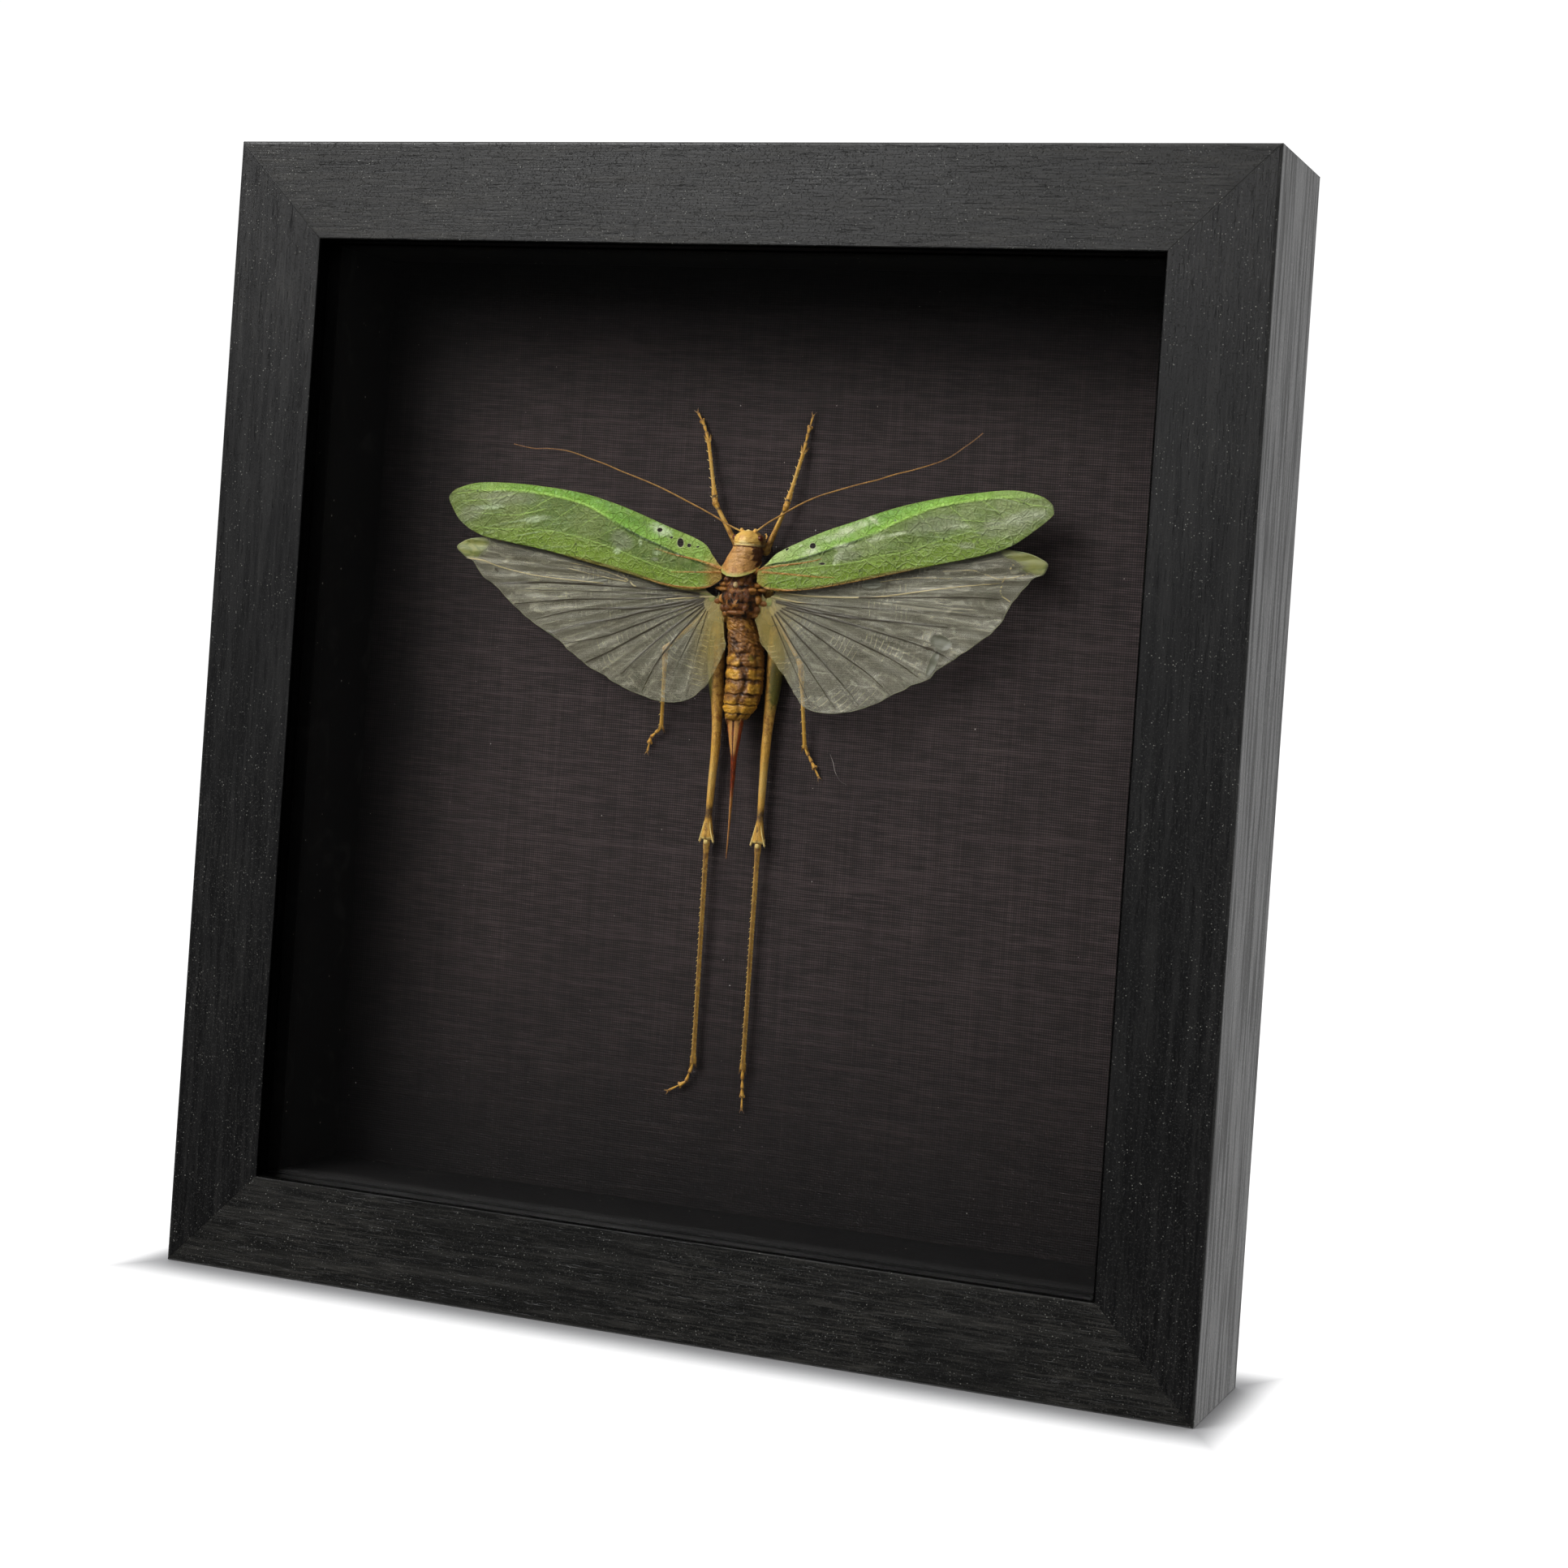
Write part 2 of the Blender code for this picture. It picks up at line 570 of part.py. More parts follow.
def tube_rings(path, half_widths, half_heights, sides):
    """Rings square to a path: the width lies along the board, and the height off it."""
    path = np.asarray(path, float)
    tangent = np.gradient(path, axis=0)
    tangent /= np.linalg.norm(tangent, axis=1)[:, None]
    off_board = np.array([0.0, 1.0, 0.0])
    across = np.cross(tangent, off_board)
    across /= np.linalg.norm(across, axis=1)[:, None]
    up = np.cross(across, tangent)
    turn = (np.arange(sides) + 0.5) * 2 * math.pi / sides
    rings = []
    for i, middle in enumerate(path):
        ring = middle + half_widths[i] * np.outer(np.cos(turn), across[i])
        ring = ring + half_heights[i] * np.outer(np.sin(turn), up[i])
        rings.append(in_case(ring[:, 0], ring[:, 1], ring[:, 2]))
    return rings


def antenna(name, points):
    """One long thin antenna on a smooth curve."""
    steps = 4 * (len(points) - 1) + 1
    path = smooth(points, steps)
    radius = np.linspace(ANTENNA_ROOT_RADIUS, ANTENNA_TIP_RADIUS, steps)
    bm = bmesh.new()
    add_rings(bm, tube_rings(path, radius, radius, 5))
    add_object(name, bm, "ochre_leg", smooth_angle=80)


def wing_sheet(name, grid, thickness, finish):
    """A wing from a grid of points (rows, columns, xyz), given its thickness both ways."""
    rows, columns = grid.shape[:2]
    bm = bmesh.new()
    verts = [[bm.verts.new(point) for point in row] for row in grid]
    for i in range(rows - 1):
        for j in range(columns - 1):
            bm.faces.new((verts[i][j], verts[i + 1][j], verts[i + 1][j + 1], verts[i][j + 1]))
    bmesh.ops.remove_doubles(bm, verts=bm.verts, dist=0.00001)
    wing = add_object(name, bm, finish, smooth_angle=30)
    shell = wing.modifiers.new("thickness", "SOLIDIFY")
    shell.thickness = thickness * MM
    shell.offset = 0.0
    return wing


def forewing(name, lead, trail):
    """A forewing: straight lines from the leading to the trailing edge, gently arched."""
    share = np.linspace(0, 1, FOREWING_STEPS)
    spread = np.sin(share * math.pi / 2) * 0.5 + share * 0.5
    fine = 400
    lead_curve, trail_curve = smooth(lead, fine), smooth(trail, fine)
    pick = np.rint(spread * (fine - 1)).astype(int)
    cross = np.linspace(0, 1, FOREWING_CROSS_STEPS)[None, :, None]
    plan = lead_curve[pick][:, None] * (1 - cross) + trail_curve[pick][:, None] * cross
    chord = np.linalg.norm(plan[:, -1] - plan[:, 0], axis=1)[:, None]
    arch = FOREWING_CAMBER * chord / chord.max() * 4 * cross[..., 0] * (1 - cross[..., 0])
    grid = in_case(plan[..., 0], FOREWING_HEIGHT + arch, plan[..., 1])
    wing_sheet(name, grid, FOREWING_THICKNESS, "green_wing")


def hindwing(name, root, margin):
    """A hindwing: rays fan from the root to the margin, pleated up and down by turns."""
    root = np.array(root)
    reach = np.linspace(0.06, 1, HINDWING_STEPS + 1)[None, :, None]
    edge = smooth(margin, HINDWING_RAYS)[:, None]
    plan = root + reach * (edge - root)
    order = np.linspace(0, 1, HINDWING_RAYS)[:, None]
    bulge = HINDWING_LEAD_BULGE * np.maximum(1 - 5 * order, 0) * 4 * reach[..., 0] * (1 - reach[..., 0])
    fold = HINDWING_PLEAT * (np.arange(HINDWING_RAYS) % 2 * 2 - 1)[:, None] * reach[..., 0]
    grid = in_case(plan[..., 0], HINDWING_HEIGHT + fold, plan[..., 1] + bulge)
    wing_sheet(name, grid, HINDWING_THICKNESS, "grey_wing")


def stations_between(start, end, profile):
    """Points and half sizes along one straight stretch of a leg."""
    start, end = np.array(start), np.array(end)
    away = np.array([math.copysign(1.0, end[0]), 0.0, 0.0])
    stations = []
    for share, wide, tall, *shift in profile:
        middle = start + share * (end - start) + sum(shift) * away
        stations.append((middle, wide, tall))
    return stations


def leg(name, joints, femur, tibia, coxa=None, spine_bands=()):
    """One leg from hip to toe, in one closed piece, with a spine on each side of each band."""
    hip, knee, ankle, instep, toe = joints
    stations = stations_between(coxa, hip, COXA) if coxa else []
    stations += stations_between(hip, knee, femur)
    tibia_start = len(stations)
    stations += stations_between(knee, ankle, tibia)
    stations += stations_between(ankle, instep, HEEL)
    stations += stations_between(instep, toe, TOE)
    path = [point for point, _, _ in stations]
    wide = [w for _, w, _ in stations]
    tall = [t for _, _, t in stations]
    bm = bmesh.new()
    faces = add_rings(bm, tube_rings(path, wide, tall, LEG_SIDES))
    bmesh.ops.recalc_face_normals(bm, faces=bm.faces)
    opposite = LEG_SIDES // 2
    bands = [(tibia_start + band) * LEG_SIDES for band in spine_bands]
    spines = [faces[band + side] for band in bands for side in (opposite - 1, LEG_SIDES - 1)]
    if spines:
        bmesh.ops.poke(bm, faces=spines, offset=SPINE_LENGTH * MM)
    add_object(name, bm, "ochre_leg", smooth_angle=50)


def hind_tibia():
    """Profile of the long hind tibia, and the bands that bear its spines."""
    profile = [HIND_TIBIA_START]
    bands = []
    for share in np.linspace(SPINE_FIRST, SPINE_LAST, SPINE_COUNT):
        bands.append(len(profile))
        profile.append((share - SPINE_BASE, HIND_TIBIA_HALF, HIND_TIBIA_HALF))
        profile.append((share + SPINE_BASE, HIND_TIBIA_HALF, HIND_TIBIA_HALF))
    profile.append(HIND_TIBIA_END)
    return profile, bands


def insect():
    """The whole specimen."""
    body()
    antenna("antenna_left", ANTENNA_LEFT)
    antenna("antenna_right", ANTENNA_RIGHT)
    forewing("forewing_left", FOREWING_LEFT_LEAD, FOREWING_LEFT_TRAIL)
    forewing("forewing_right", FOREWING_RIGHT_LEAD, FOREWING_RIGHT_TRAIL)
    hindwing("hindwing_left", HINDWING_LEFT_ROOT, HINDWING_LEFT_MARGIN)
    hindwing("hindwing_right", HINDWING_RIGHT_ROOT, HINDWING_RIGHT_MARGIN)
    slim_legs = {
        "foreleg_left": FORELEG_LEFT, "foreleg_right": FORELEG_RIGHT,
        "midleg_left": MIDLEG_LEFT, "midleg_right": MIDLEG_RIGHT,
    }
    for name, joints in slim_legs.items():
        leg(name, joints, SLIM_FEMUR, SLIM_TIBIA)
    tibia, bands = hind_tibia()
    leg("hindleg_left", HINDLEG_LEFT, HIND_FEMUR, tibia, COXA_LEFT, bands)
    leg("hindleg_right", HINDLEG_RIGHT, HIND_FEMUR, tibia, COXA_RIGHT, bands)


def case():
    """The frame, what it holds, and its hardware."""
    bars = {
        (0, 1): mitred_bar("frame_top_rail", (0, 1)),
        (0, -1): mitred_bar("frame_bottom_rail", (0, -1)),
        (-1, 0): mitred_bar("frame_left_stile", (-1, 0)),
        (1, 0): mitred_bar("frame_right_stile", (1, 0)),
    }
    layers()
    retainers(bars)
    hanger(bars[(0, 1)])


clear_scene()
case()
insect()
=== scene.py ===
"""Looks of a framed katydid: a dried bush-cricket, wings spread, in a black glazed case.

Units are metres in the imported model's own frame: +Z is up and the glazed front faces -Y.
The insect's own points are in millimetres: x across the case, h off the board, z up.
"""

from __future__ import annotations

import logging
import math
from dataclasses import dataclass, field
from enum import Enum

import bmesh
import bpy
import numpy as np
from mathutils import Matrix, Vector


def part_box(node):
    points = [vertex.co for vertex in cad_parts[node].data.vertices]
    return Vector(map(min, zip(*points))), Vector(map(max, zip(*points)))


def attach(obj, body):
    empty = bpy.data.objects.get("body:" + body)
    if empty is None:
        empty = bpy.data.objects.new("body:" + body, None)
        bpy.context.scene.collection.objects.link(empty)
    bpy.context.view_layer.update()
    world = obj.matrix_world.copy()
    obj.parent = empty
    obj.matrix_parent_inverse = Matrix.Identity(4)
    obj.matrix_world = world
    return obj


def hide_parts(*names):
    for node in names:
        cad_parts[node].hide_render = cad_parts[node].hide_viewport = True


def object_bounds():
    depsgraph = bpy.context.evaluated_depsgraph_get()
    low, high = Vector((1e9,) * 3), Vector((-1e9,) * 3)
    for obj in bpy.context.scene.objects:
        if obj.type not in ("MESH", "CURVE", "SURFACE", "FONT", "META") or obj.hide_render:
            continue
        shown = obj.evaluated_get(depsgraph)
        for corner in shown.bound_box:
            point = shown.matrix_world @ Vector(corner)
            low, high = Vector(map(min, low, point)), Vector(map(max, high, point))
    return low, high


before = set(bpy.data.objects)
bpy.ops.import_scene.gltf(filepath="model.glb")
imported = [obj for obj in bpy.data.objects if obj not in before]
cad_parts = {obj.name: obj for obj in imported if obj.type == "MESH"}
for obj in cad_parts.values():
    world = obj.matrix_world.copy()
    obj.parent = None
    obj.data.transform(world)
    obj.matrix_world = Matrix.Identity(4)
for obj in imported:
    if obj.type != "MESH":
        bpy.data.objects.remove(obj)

Array = np.ndarray
Colour = tuple[float, float, float, float]
Point = tuple[float, ...]

log = logging.getLogger("framed_katydid")

MM = 0.001
CASE_LOW, CASE_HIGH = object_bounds()
BOARD_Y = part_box("mount_board")[0].y
BAR_FACE = 0.019  # width of the frame's bars from the front
SIDES = (-1, 1)  # left and right, as the sign of x
BODY_X = 0.3  # mm, the line of the insect's body
HEAD_X = 1.05  # mm, the head leans over to the right
FAR = 9.0  # the most that off_lines and off_spots give
READS = 6  # points read on a wing's line for each one given
FINE_READS = 40  # the same where a curve is read at even steps
EDGE_READS = 4000  # points read on each edge of a forewing
WAVES = 9  # sine waves in a ripple
WELD = 2e-6  # metres, closer points of a sheet become one
POLE = 0.12  # radians from an egg's pole to its first ring


class Side(Enum):
    """Left or right, as the sign of x."""

    LEFT = -1
    RIGHT = 1

    @property
    def word(self) -> str:
        """The side's name as it is written in a piece's name."""
        return self.name.lower()


class Grain(Enum):
    """The way that the wood's fibres run: how far a pattern is drawn out along x, y, z."""

    ACROSS = (0.05, 1.0, 1.0)
    UPRIGHT = (1.0, 1.0, 0.05)


# --- Numbers and curves ---------------------------------------------------------------


def seen(red: float, green: float, blue: float) -> Colour:
    """A tone as it is read off the photo, 0 to 255 a channel, as linear light."""
    share = np.array([red, green, blue]) / 255
    linear = np.where(share <= 0.04045, share / 12.92, ((share + 0.055) / 1.055) ** 2.4)
    return (*linear.tolist(), 1.0)


def in_case(x: Array, h: Array, z: Array) -> Array:
    """Insect millimetres to metres in the case; h is measured off the board."""
    x, h, z = np.broadcast_arrays(x, h, z)
    return np.stack([x * MM, BOARD_Y - h * MM, z * MM], axis=-1)


def smooth(points: Array, count: int) -> Array:
    """Read a smooth curve through points.

    Between two points the curve is the cubic whose slope at each is half the step from
    the point before to the point after.

    Args:
        points: Points that the curve passes, one a row.
        count: Number of points to read, evenly spaced in the curve's parameter.

    Returns:
        The points read, one a row.
    """
    p = np.asarray(points, float)
    p = np.vstack([2 * p[0] - p[1], p, 2 * p[-1] - p[-2]])
    t = np.linspace(0, len(p) - 3, count)
    i = np.minimum(t.astype(int), len(p) - 4)
    f = (t - i)[:, None]
    a, b, c, d = p[i], p[i + 1], p[i + 2], p[i + 3]
    bend = (2 * a - 5 * b + 4 * c - d) * f**2 + (3 * b - a - 3 * c + d) * f**3
    return 0.5 * (2 * b + (c - a) * f + bend)


def even(points: Array, count: int) -> Array:
    """The smooth curve through points, read at even steps of its length."""
    fine = smooth(points, FINE_READS * len(points))
    travel = np.insert(np.cumsum(np.linalg.norm(np.diff(fine, axis=0), axis=1)), 0, 0.0)
    steps = np.linspace(0, travel[-1], count)
    return np.stack([np.interp(steps, travel, column) for column in fine.T], axis=-1)


def ramp(value: Array, low: float, high: float) -> Array:
    """0 up to low, 1 from high on, and an S curve between."""
    t = np.clip((value - low) / (high - low), 0, 1)
    return t * t * (3 - 2 * t)


def hump(value: Array, middle: float, width: float) -> Array:
    """A bell: 1 at the middle, and about a third one width away from it."""
    return np.exp(-(((value - middle) / width) ** 2))


def ripple(x: Array, z: Array, pitch: float, seed: int) -> Array:
    """An uneven surface, about -1 to 1: sine waves of one pitch, more or less, and any way."""
    rng = np.random.default_rng(seed)
    turn, phase = rng.uniform(0, 2 * math.pi, (2, WAVES))
    waves = 2 * math.pi / (pitch * rng.uniform(0.6, 1.6, WAVES))
    x, z = np.asarray(x)[..., None], np.asarray(z)[..., None]
    return np.sin((x * np.cos(turn) + z * np.sin(turn)) * waves + phase).sum(-1) / 4


@dataclass(frozen=True)
class Line:
    """A vein or streak on a wing: its points as x, z, and its half width at each end."""

    points: tuple[Point, ...]
    start: float = 0.16
    end: float = 0.07


@dataclass(frozen=True)
class Spot:
    """An oval patch on a wing: its middle, half length, half height and tilt in degrees."""

    x: float
    z: float
    length: float
    height: float
    tilt: float = 0.0


def off_lines(x: Array, z: Array, lines: tuple[Line, ...], shift: float = 0.0) -> Array:
    """Distance to the nearest line, over the half width that the line has there.

    Each point is dropped onto every stretch of a line, and the drop is kept within the
    stretch's two ends. The width changes evenly along the line.

    Args:
        x: Where the points lie across the case, in mm.
        z: Where they lie up the case, in mm.
        lines: The lines to measure to.
        shift: How far the lines are moved along x first.

    Returns:
        0 on a line, 1 at its edge, and at most FAR.
    """
    spots = np.stack([x, z], axis=-1)
    nearest = np.full(x.shape, FAR)
    for line in lines:
        path = smooth(line.points, READS * len(line.points)) + (shift, 0.0)
        start, step = path[:-1], np.diff(path, axis=0)
        offset = spots[..., None, :] - start
        share = np.clip((offset * step).sum(-1) / (step**2).sum(-1), 0, 1)
        gaps = np.linalg.norm(offset - share[..., None] * step, axis=-1)
        pick = gaps.argmin(-1)[..., None]
        travel = (pick + np.take_along_axis(share, pick, -1))[..., 0] / len(step)
        width = line.start + (line.end - line.start) * travel
        nearest = np.minimum(nearest, gaps.min(-1) / width)
    return nearest


def off_spots(x: Array, z: Array, spots: tuple[Spot, ...], shift: float = 0.0) -> Array:
    """Distance from the middle of the nearest oval, 1 at its rim and at most FAR."""
    nearest = np.full(x.shape, FAR)
    for spot in spots:
        turn = math.radians(spot.tilt)
        across, up = x - spot.x - shift, z - spot.z
        along = (across * math.cos(turn) + up * math.sin(turn)) / spot.length
        over = (up * math.cos(turn) - across * math.sin(turn)) / spot.height
        nearest = np.minimum(nearest, np.hypot(along, over))
    return nearest


# --- Meshes ---------------------------------------------------------------------------


@dataclass
class Shape:
    """Points in metres, four- and three-sided faces, and named values at the points."""

    points: Array
    quads: Array
    tris: Array
    values: dict[str, Array] = field(default_factory=dict)

    def outward(self) -> Shape:
        """This closed shape with its faces turned out, found by the sign of its volume."""
        halves = np.vstack([self.quads[:, [0, 1, 2]], self.quads[:, [0, 2, 3]], self.tris])
        corners = self.points[halves] - self.points.mean(0)
        volume = np.einsum("ij,ij->", corners[:, 0], np.cross(corners[:, 1], corners[:, 2]))
        if volume < 0:
            self.quads, self.tris = self.quads[:, ::-1], self.tris[:, ::-1]
        return self


def join(shapes: list[Shape]) -> Shape:
    """Several shapes as one; a value that a shape lacks is 0 there."""
    starts = np.cumsum([0] + [len(shape.points) for shape in shapes[:-1]])
    names = sorted({name for shape in shapes for name in shape.values})
    values = {}
    for name in names:
        parts = [shape.values.get(name, np.zeros(len(shape.points))) for shape in shapes]
        values[name] = np.concatenate(parts)
    return Shape(
        np.vstack([shape.points for shape in shapes]),
        np.vstack([shape.quads + start for shape, start in zip(shapes, starts)]),
        np.vstack([shape.tris + start for shape, start in zip(shapes, starts)]),
        values,
    )


def skin(rings: Array, values: dict[str, Array] | None = None) -> Shape:
    """Skin a row of closed rings, and close each end on its middle point.

    Args:
        rings: Points by ring, by place on the ring, and by x, y, z.
        values: Named values by ring and by place, or by ring alone.

    Returns:
        The closed shape, faces outward.
    """
    count, sides = rings.shape[:2]
    index = np.arange(count * sides).reshape(count, sides)
    turned = np.roll(index, -1, axis=1)
    quads = np.stack([index[:-1], turned[:-1], turned[1:], index[1:]], axis=-1)
    ends = count * sides + np.arange(2)
    first = np.stack([turned[0], index[0], np.full(sides, ends[0])], axis=-1)
    last = np.stack([index[-1], turned[-1], np.full(sides, ends[1])], axis=-1)
    kept = {}
    for name, value in (values or {}).items():
        value = np.asarray(value, float)
        value = np.broadcast_to(value[:, None] if value.ndim == 1 else value, (count, sides))
        kept[name] = np.append(value.ravel(), [value[0].mean(), value[-1].mean()])
    points = np.vstack([rings.reshape(-1, 3), rings[0].mean(0), rings[-1].mean(0)])
    return Shape(points, quads.reshape(-1, 4), np.vstack([first, last]), kept).outward()


def sheet(grid: Array, values: dict[str, Array]) -> Shape:
    """An open sheet from a grid of points and a grid of each value."""
    rows, columns = grid.shape[:2]
    index = np.arange(rows * columns).reshape(rows, columns)
    quads = np.stack([index[:-1, :-1], index[1:, :-1], index[1:, 1:], index[:-1, 1:]], -1)
    kept = {name: np.broadcast_to(v, (rows, columns)).ravel() for name, v in values.items()}
    return Shape(grid.reshape(-1, 3), quads.reshape(-1, 4), np.empty((0, 3), int), kept)


def tube(
    path: Array, wide: Array, tall: Array, sides: int = 14, keel: float = 0.0, **values: Array
) -> Shape:
    """Carry an oval along a path.

    Each ring stands square to the path: its width lies along the board and its height
    off it. A keel draws the oval out into four low ridges.

    Args:
        path: Points as x, h, z in mm, one a row.
        wide: Half width at each point.
        tall: Half height at each point.
        sides: Points on a ring.
        keel: Share by which the ridges stand out.
        **values: Named values at each point of the path.

    Returns:
        The closed tube.
    """
    tangent = np.gradient(path, axis=0)
    tangent /= np.linalg.norm(tangent, axis=1)[:, None]
    across = np.cross(tangent, (0.0, 1.0, 0.0))
    across /= np.linalg.norm(across, axis=1)[:, None]
    up = np.cross(across, tangent)
    turn = (np.arange(sides) + 0.5) * 2 * math.pi / sides
    swell = 1 + keel * np.cos(4 * turn)
    ring = np.asarray(path)[:, None]
    ring = ring + (np.asarray(wide)[:, None] * swell * np.cos(turn))[..., None] * across[:, None]
    ring = ring + (np.asarray(tall)[:, None] * swell * np.sin(turn))[..., None] * up[:, None]
    shares = {name: np.broadcast_to(v, len(path)) for name, v in values.items()}
    return skin(in_case(ring[..., 0], ring[..., 1], ring[..., 2]), shares)


def cord(
    points: Array, count: int, start: float, end: float, sides: int = 8, **values: Array
) -> Shape:
    """A round tube of count rings along a smooth curve, its radius going from start to end."""
    radius = np.linspace(start, end, count)
    return tube(smooth(points, count), radius, radius, sides, **values)


def cones(base: Array, tip: Array, radius: float, sides: int = 5, **values: float) -> Shape:
    """Many small closed spikes at once.

    Args:
        base: Middle of each spike's foot as x, h, z in mm, one a row.
        tip: Its point, likewise.
        radius: Half width of the foot.
        sides: Points round the foot.
        **values: Named values, the same for every spike.

    Returns:
        All the spikes as one shape.
    """
    base, tip = np.asarray(base, float), np.asarray(tip, float)
    axis = (tip - base) / np.linalg.norm(tip - base, axis=1)[:, None]
    across = np.cross(axis, (0.31, 0.62, 0.72))
    across /= np.linalg.norm(across, axis=1)[:, None]
    up = np.cross(axis, across)
    turn = np.arange(sides) * 2 * math.pi / sides
    round_foot = np.cos(turn)[:, None] * across[:, None] + np.sin(turn)[:, None] * up[:, None]
    foot = base[:, None] + radius * round_foot
    points = np.concatenate([foot, base[:, None], tip[:, None]], axis=1)
    here = np.arange(sides)
    after = np.roll(here, -1)
    pattern = np.vstack([
        np.stack([here, after, np.full(sides, sides + 1)], -1),
        np.stack([after, here, np.full(sides, sides)], -1),
    ])
    tris = (pattern + (sides + 2) * np.arange(len(base))[:, None, None]).reshape(-1, 3)
    flat = points.reshape(-1, 3)
    kept = {name: np.full(len(flat), value) for name, value in values.items()}
    no_quads = np.empty((0, 4), int)
    return Shape(in_case(flat[:, 0], flat[:, 1], flat[:, 2]), no_quads, tris, kept).outward()


def egg(centre: Point, radii: Point, rows: int = 18, sides: int = 22, **values: float) -> Shape:
    """A smooth oval lump about a centre x, h, z, in mm; rows of rings run along z."""
    polar = np.linspace(POLE, math.pi - POLE, rows)[:, None]
    turn = np.arange(sides) * 2 * math.pi / sides
    x = centre[0] + radii[0] * np.sin(polar) * np.cos(turn)
    h = centre[1] + radii[1] * np.sin(polar) * np.sin(turn)
    z = centre[2] + radii[2] * np.cos(polar)
    same = {name: np.full((rows, sides), value) for name, value in values.items()}
    return skin(in_case(x, h, z), same)


def add_piece(
    name: str, shape: Shape, finish: Finish, replaces: str = "",
    thickness: float = 0.0, sharp: float = 60.0,
) -> bpy.types.Object:
    """Turn a shape into a shown piece that rides on the case.

    Args:
        name: The piece's name.
        shape: Its points, faces and values.
        finish: What it is made of.
        replaces: The solid that it stands for, if any.
        thickness: Wall in metres to give to an open sheet, both ways from it.
        sharp: Faces that meet at more than this angle, in degrees, keep a crisp edge.

    Returns:
        The new object.
    """
    mesh = bpy.data.meshes.new(name)
    mesh.from_pydata(shape.points.tolist(), [], shape.quads.tolist() + shape.tris.tolist())
    for label, value in shape.values.items():
        made = mesh.attributes.new(label, "FLOAT", "POINT")
        made.data.foreach_set("value", value.astype(np.float32))
    if thickness:
        bm = bmesh.new()
        bm.from_mesh(mesh)
        bmesh.ops.remove_doubles(bm, verts=bm.verts, dist=WELD)
        bm.to_mesh(mesh)
        bm.free()
    mesh.shade_smooth()
    mesh.set_sharp_from_angle(angle=math.radians(sharp))
    piece = bpy.data.objects.new(name, mesh)
    bpy.context.scene.collection.objects.link(piece)
    mesh.materials.append(finish.material())
    if thickness:
        wall = piece.modifiers.new("wall", "SOLIDIFY")
        wall.thickness, wall.offset = thickness, 0.0
    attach(piece, "root")
    if replaces:
        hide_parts(replaces)
    log.info("%s: %d points", name, len(mesh.vertices))
    return piece


# --- Shader maths ---------------------------------------------------------------------


class Field:
    """A number that varies over a surface: one socket with Python's arithmetic."""

    def __init__(self, recipe: Recipe, socket: bpy.types.NodeSocket) -> None:
        """Keep the recipe that the socket belongs to."""
        self.recipe, self.socket = recipe, socket

    def math(self, operation: str, *others: Field | float) -> Field:
        """This value and others through one Math node."""
        inputs = dict(enumerate((self, *others)))
        return self.recipe.field("Math", {"operation": operation}, inputs)

    def __add__(self, other: Field | float) -> Field:
        """The sum."""
        return self.math("ADD", other)

    def __sub__(self, other: Field | float) -> Field:
        """The difference."""
        return self.math("SUBTRACT", other)

    def __rsub__(self, other: Field | float) -> Field:
        """A number less this value."""
        return self.math("MULTIPLY_ADD", -1.0, other)

    def __mul__(self, other: Field | float) -> Field:
        """The product."""
        return self.math("MULTIPLY", other)

    __radd__, __rmul__ = __add__, __mul__

    def cycle(self) -> Field:
        """The part after the decimal point."""
        return self.math("FRACT")

    def size(self) -> Field:
        """The value without its sign."""
        return self.math("ABSOLUTE")

    def most(self, other: Field | float) -> Field:
        """The greater of two values."""
        return self.math("MAXIMUM", other)

    def least(self, other: Field | float) -> Field:
        """The smaller of two values."""
        return self.math("MINIMUM", other)

    def rise(self, low: float, high: float) -> Field:
        """0 up to low, 1 from high on, and an S curve between."""
        settings = {"interpolation_type": "SMOOTHSTEP"}
        inputs = {"Value": self, "From Min": low, "From Max": high}
        return self.recipe.field("MapRange", settings, inputs)


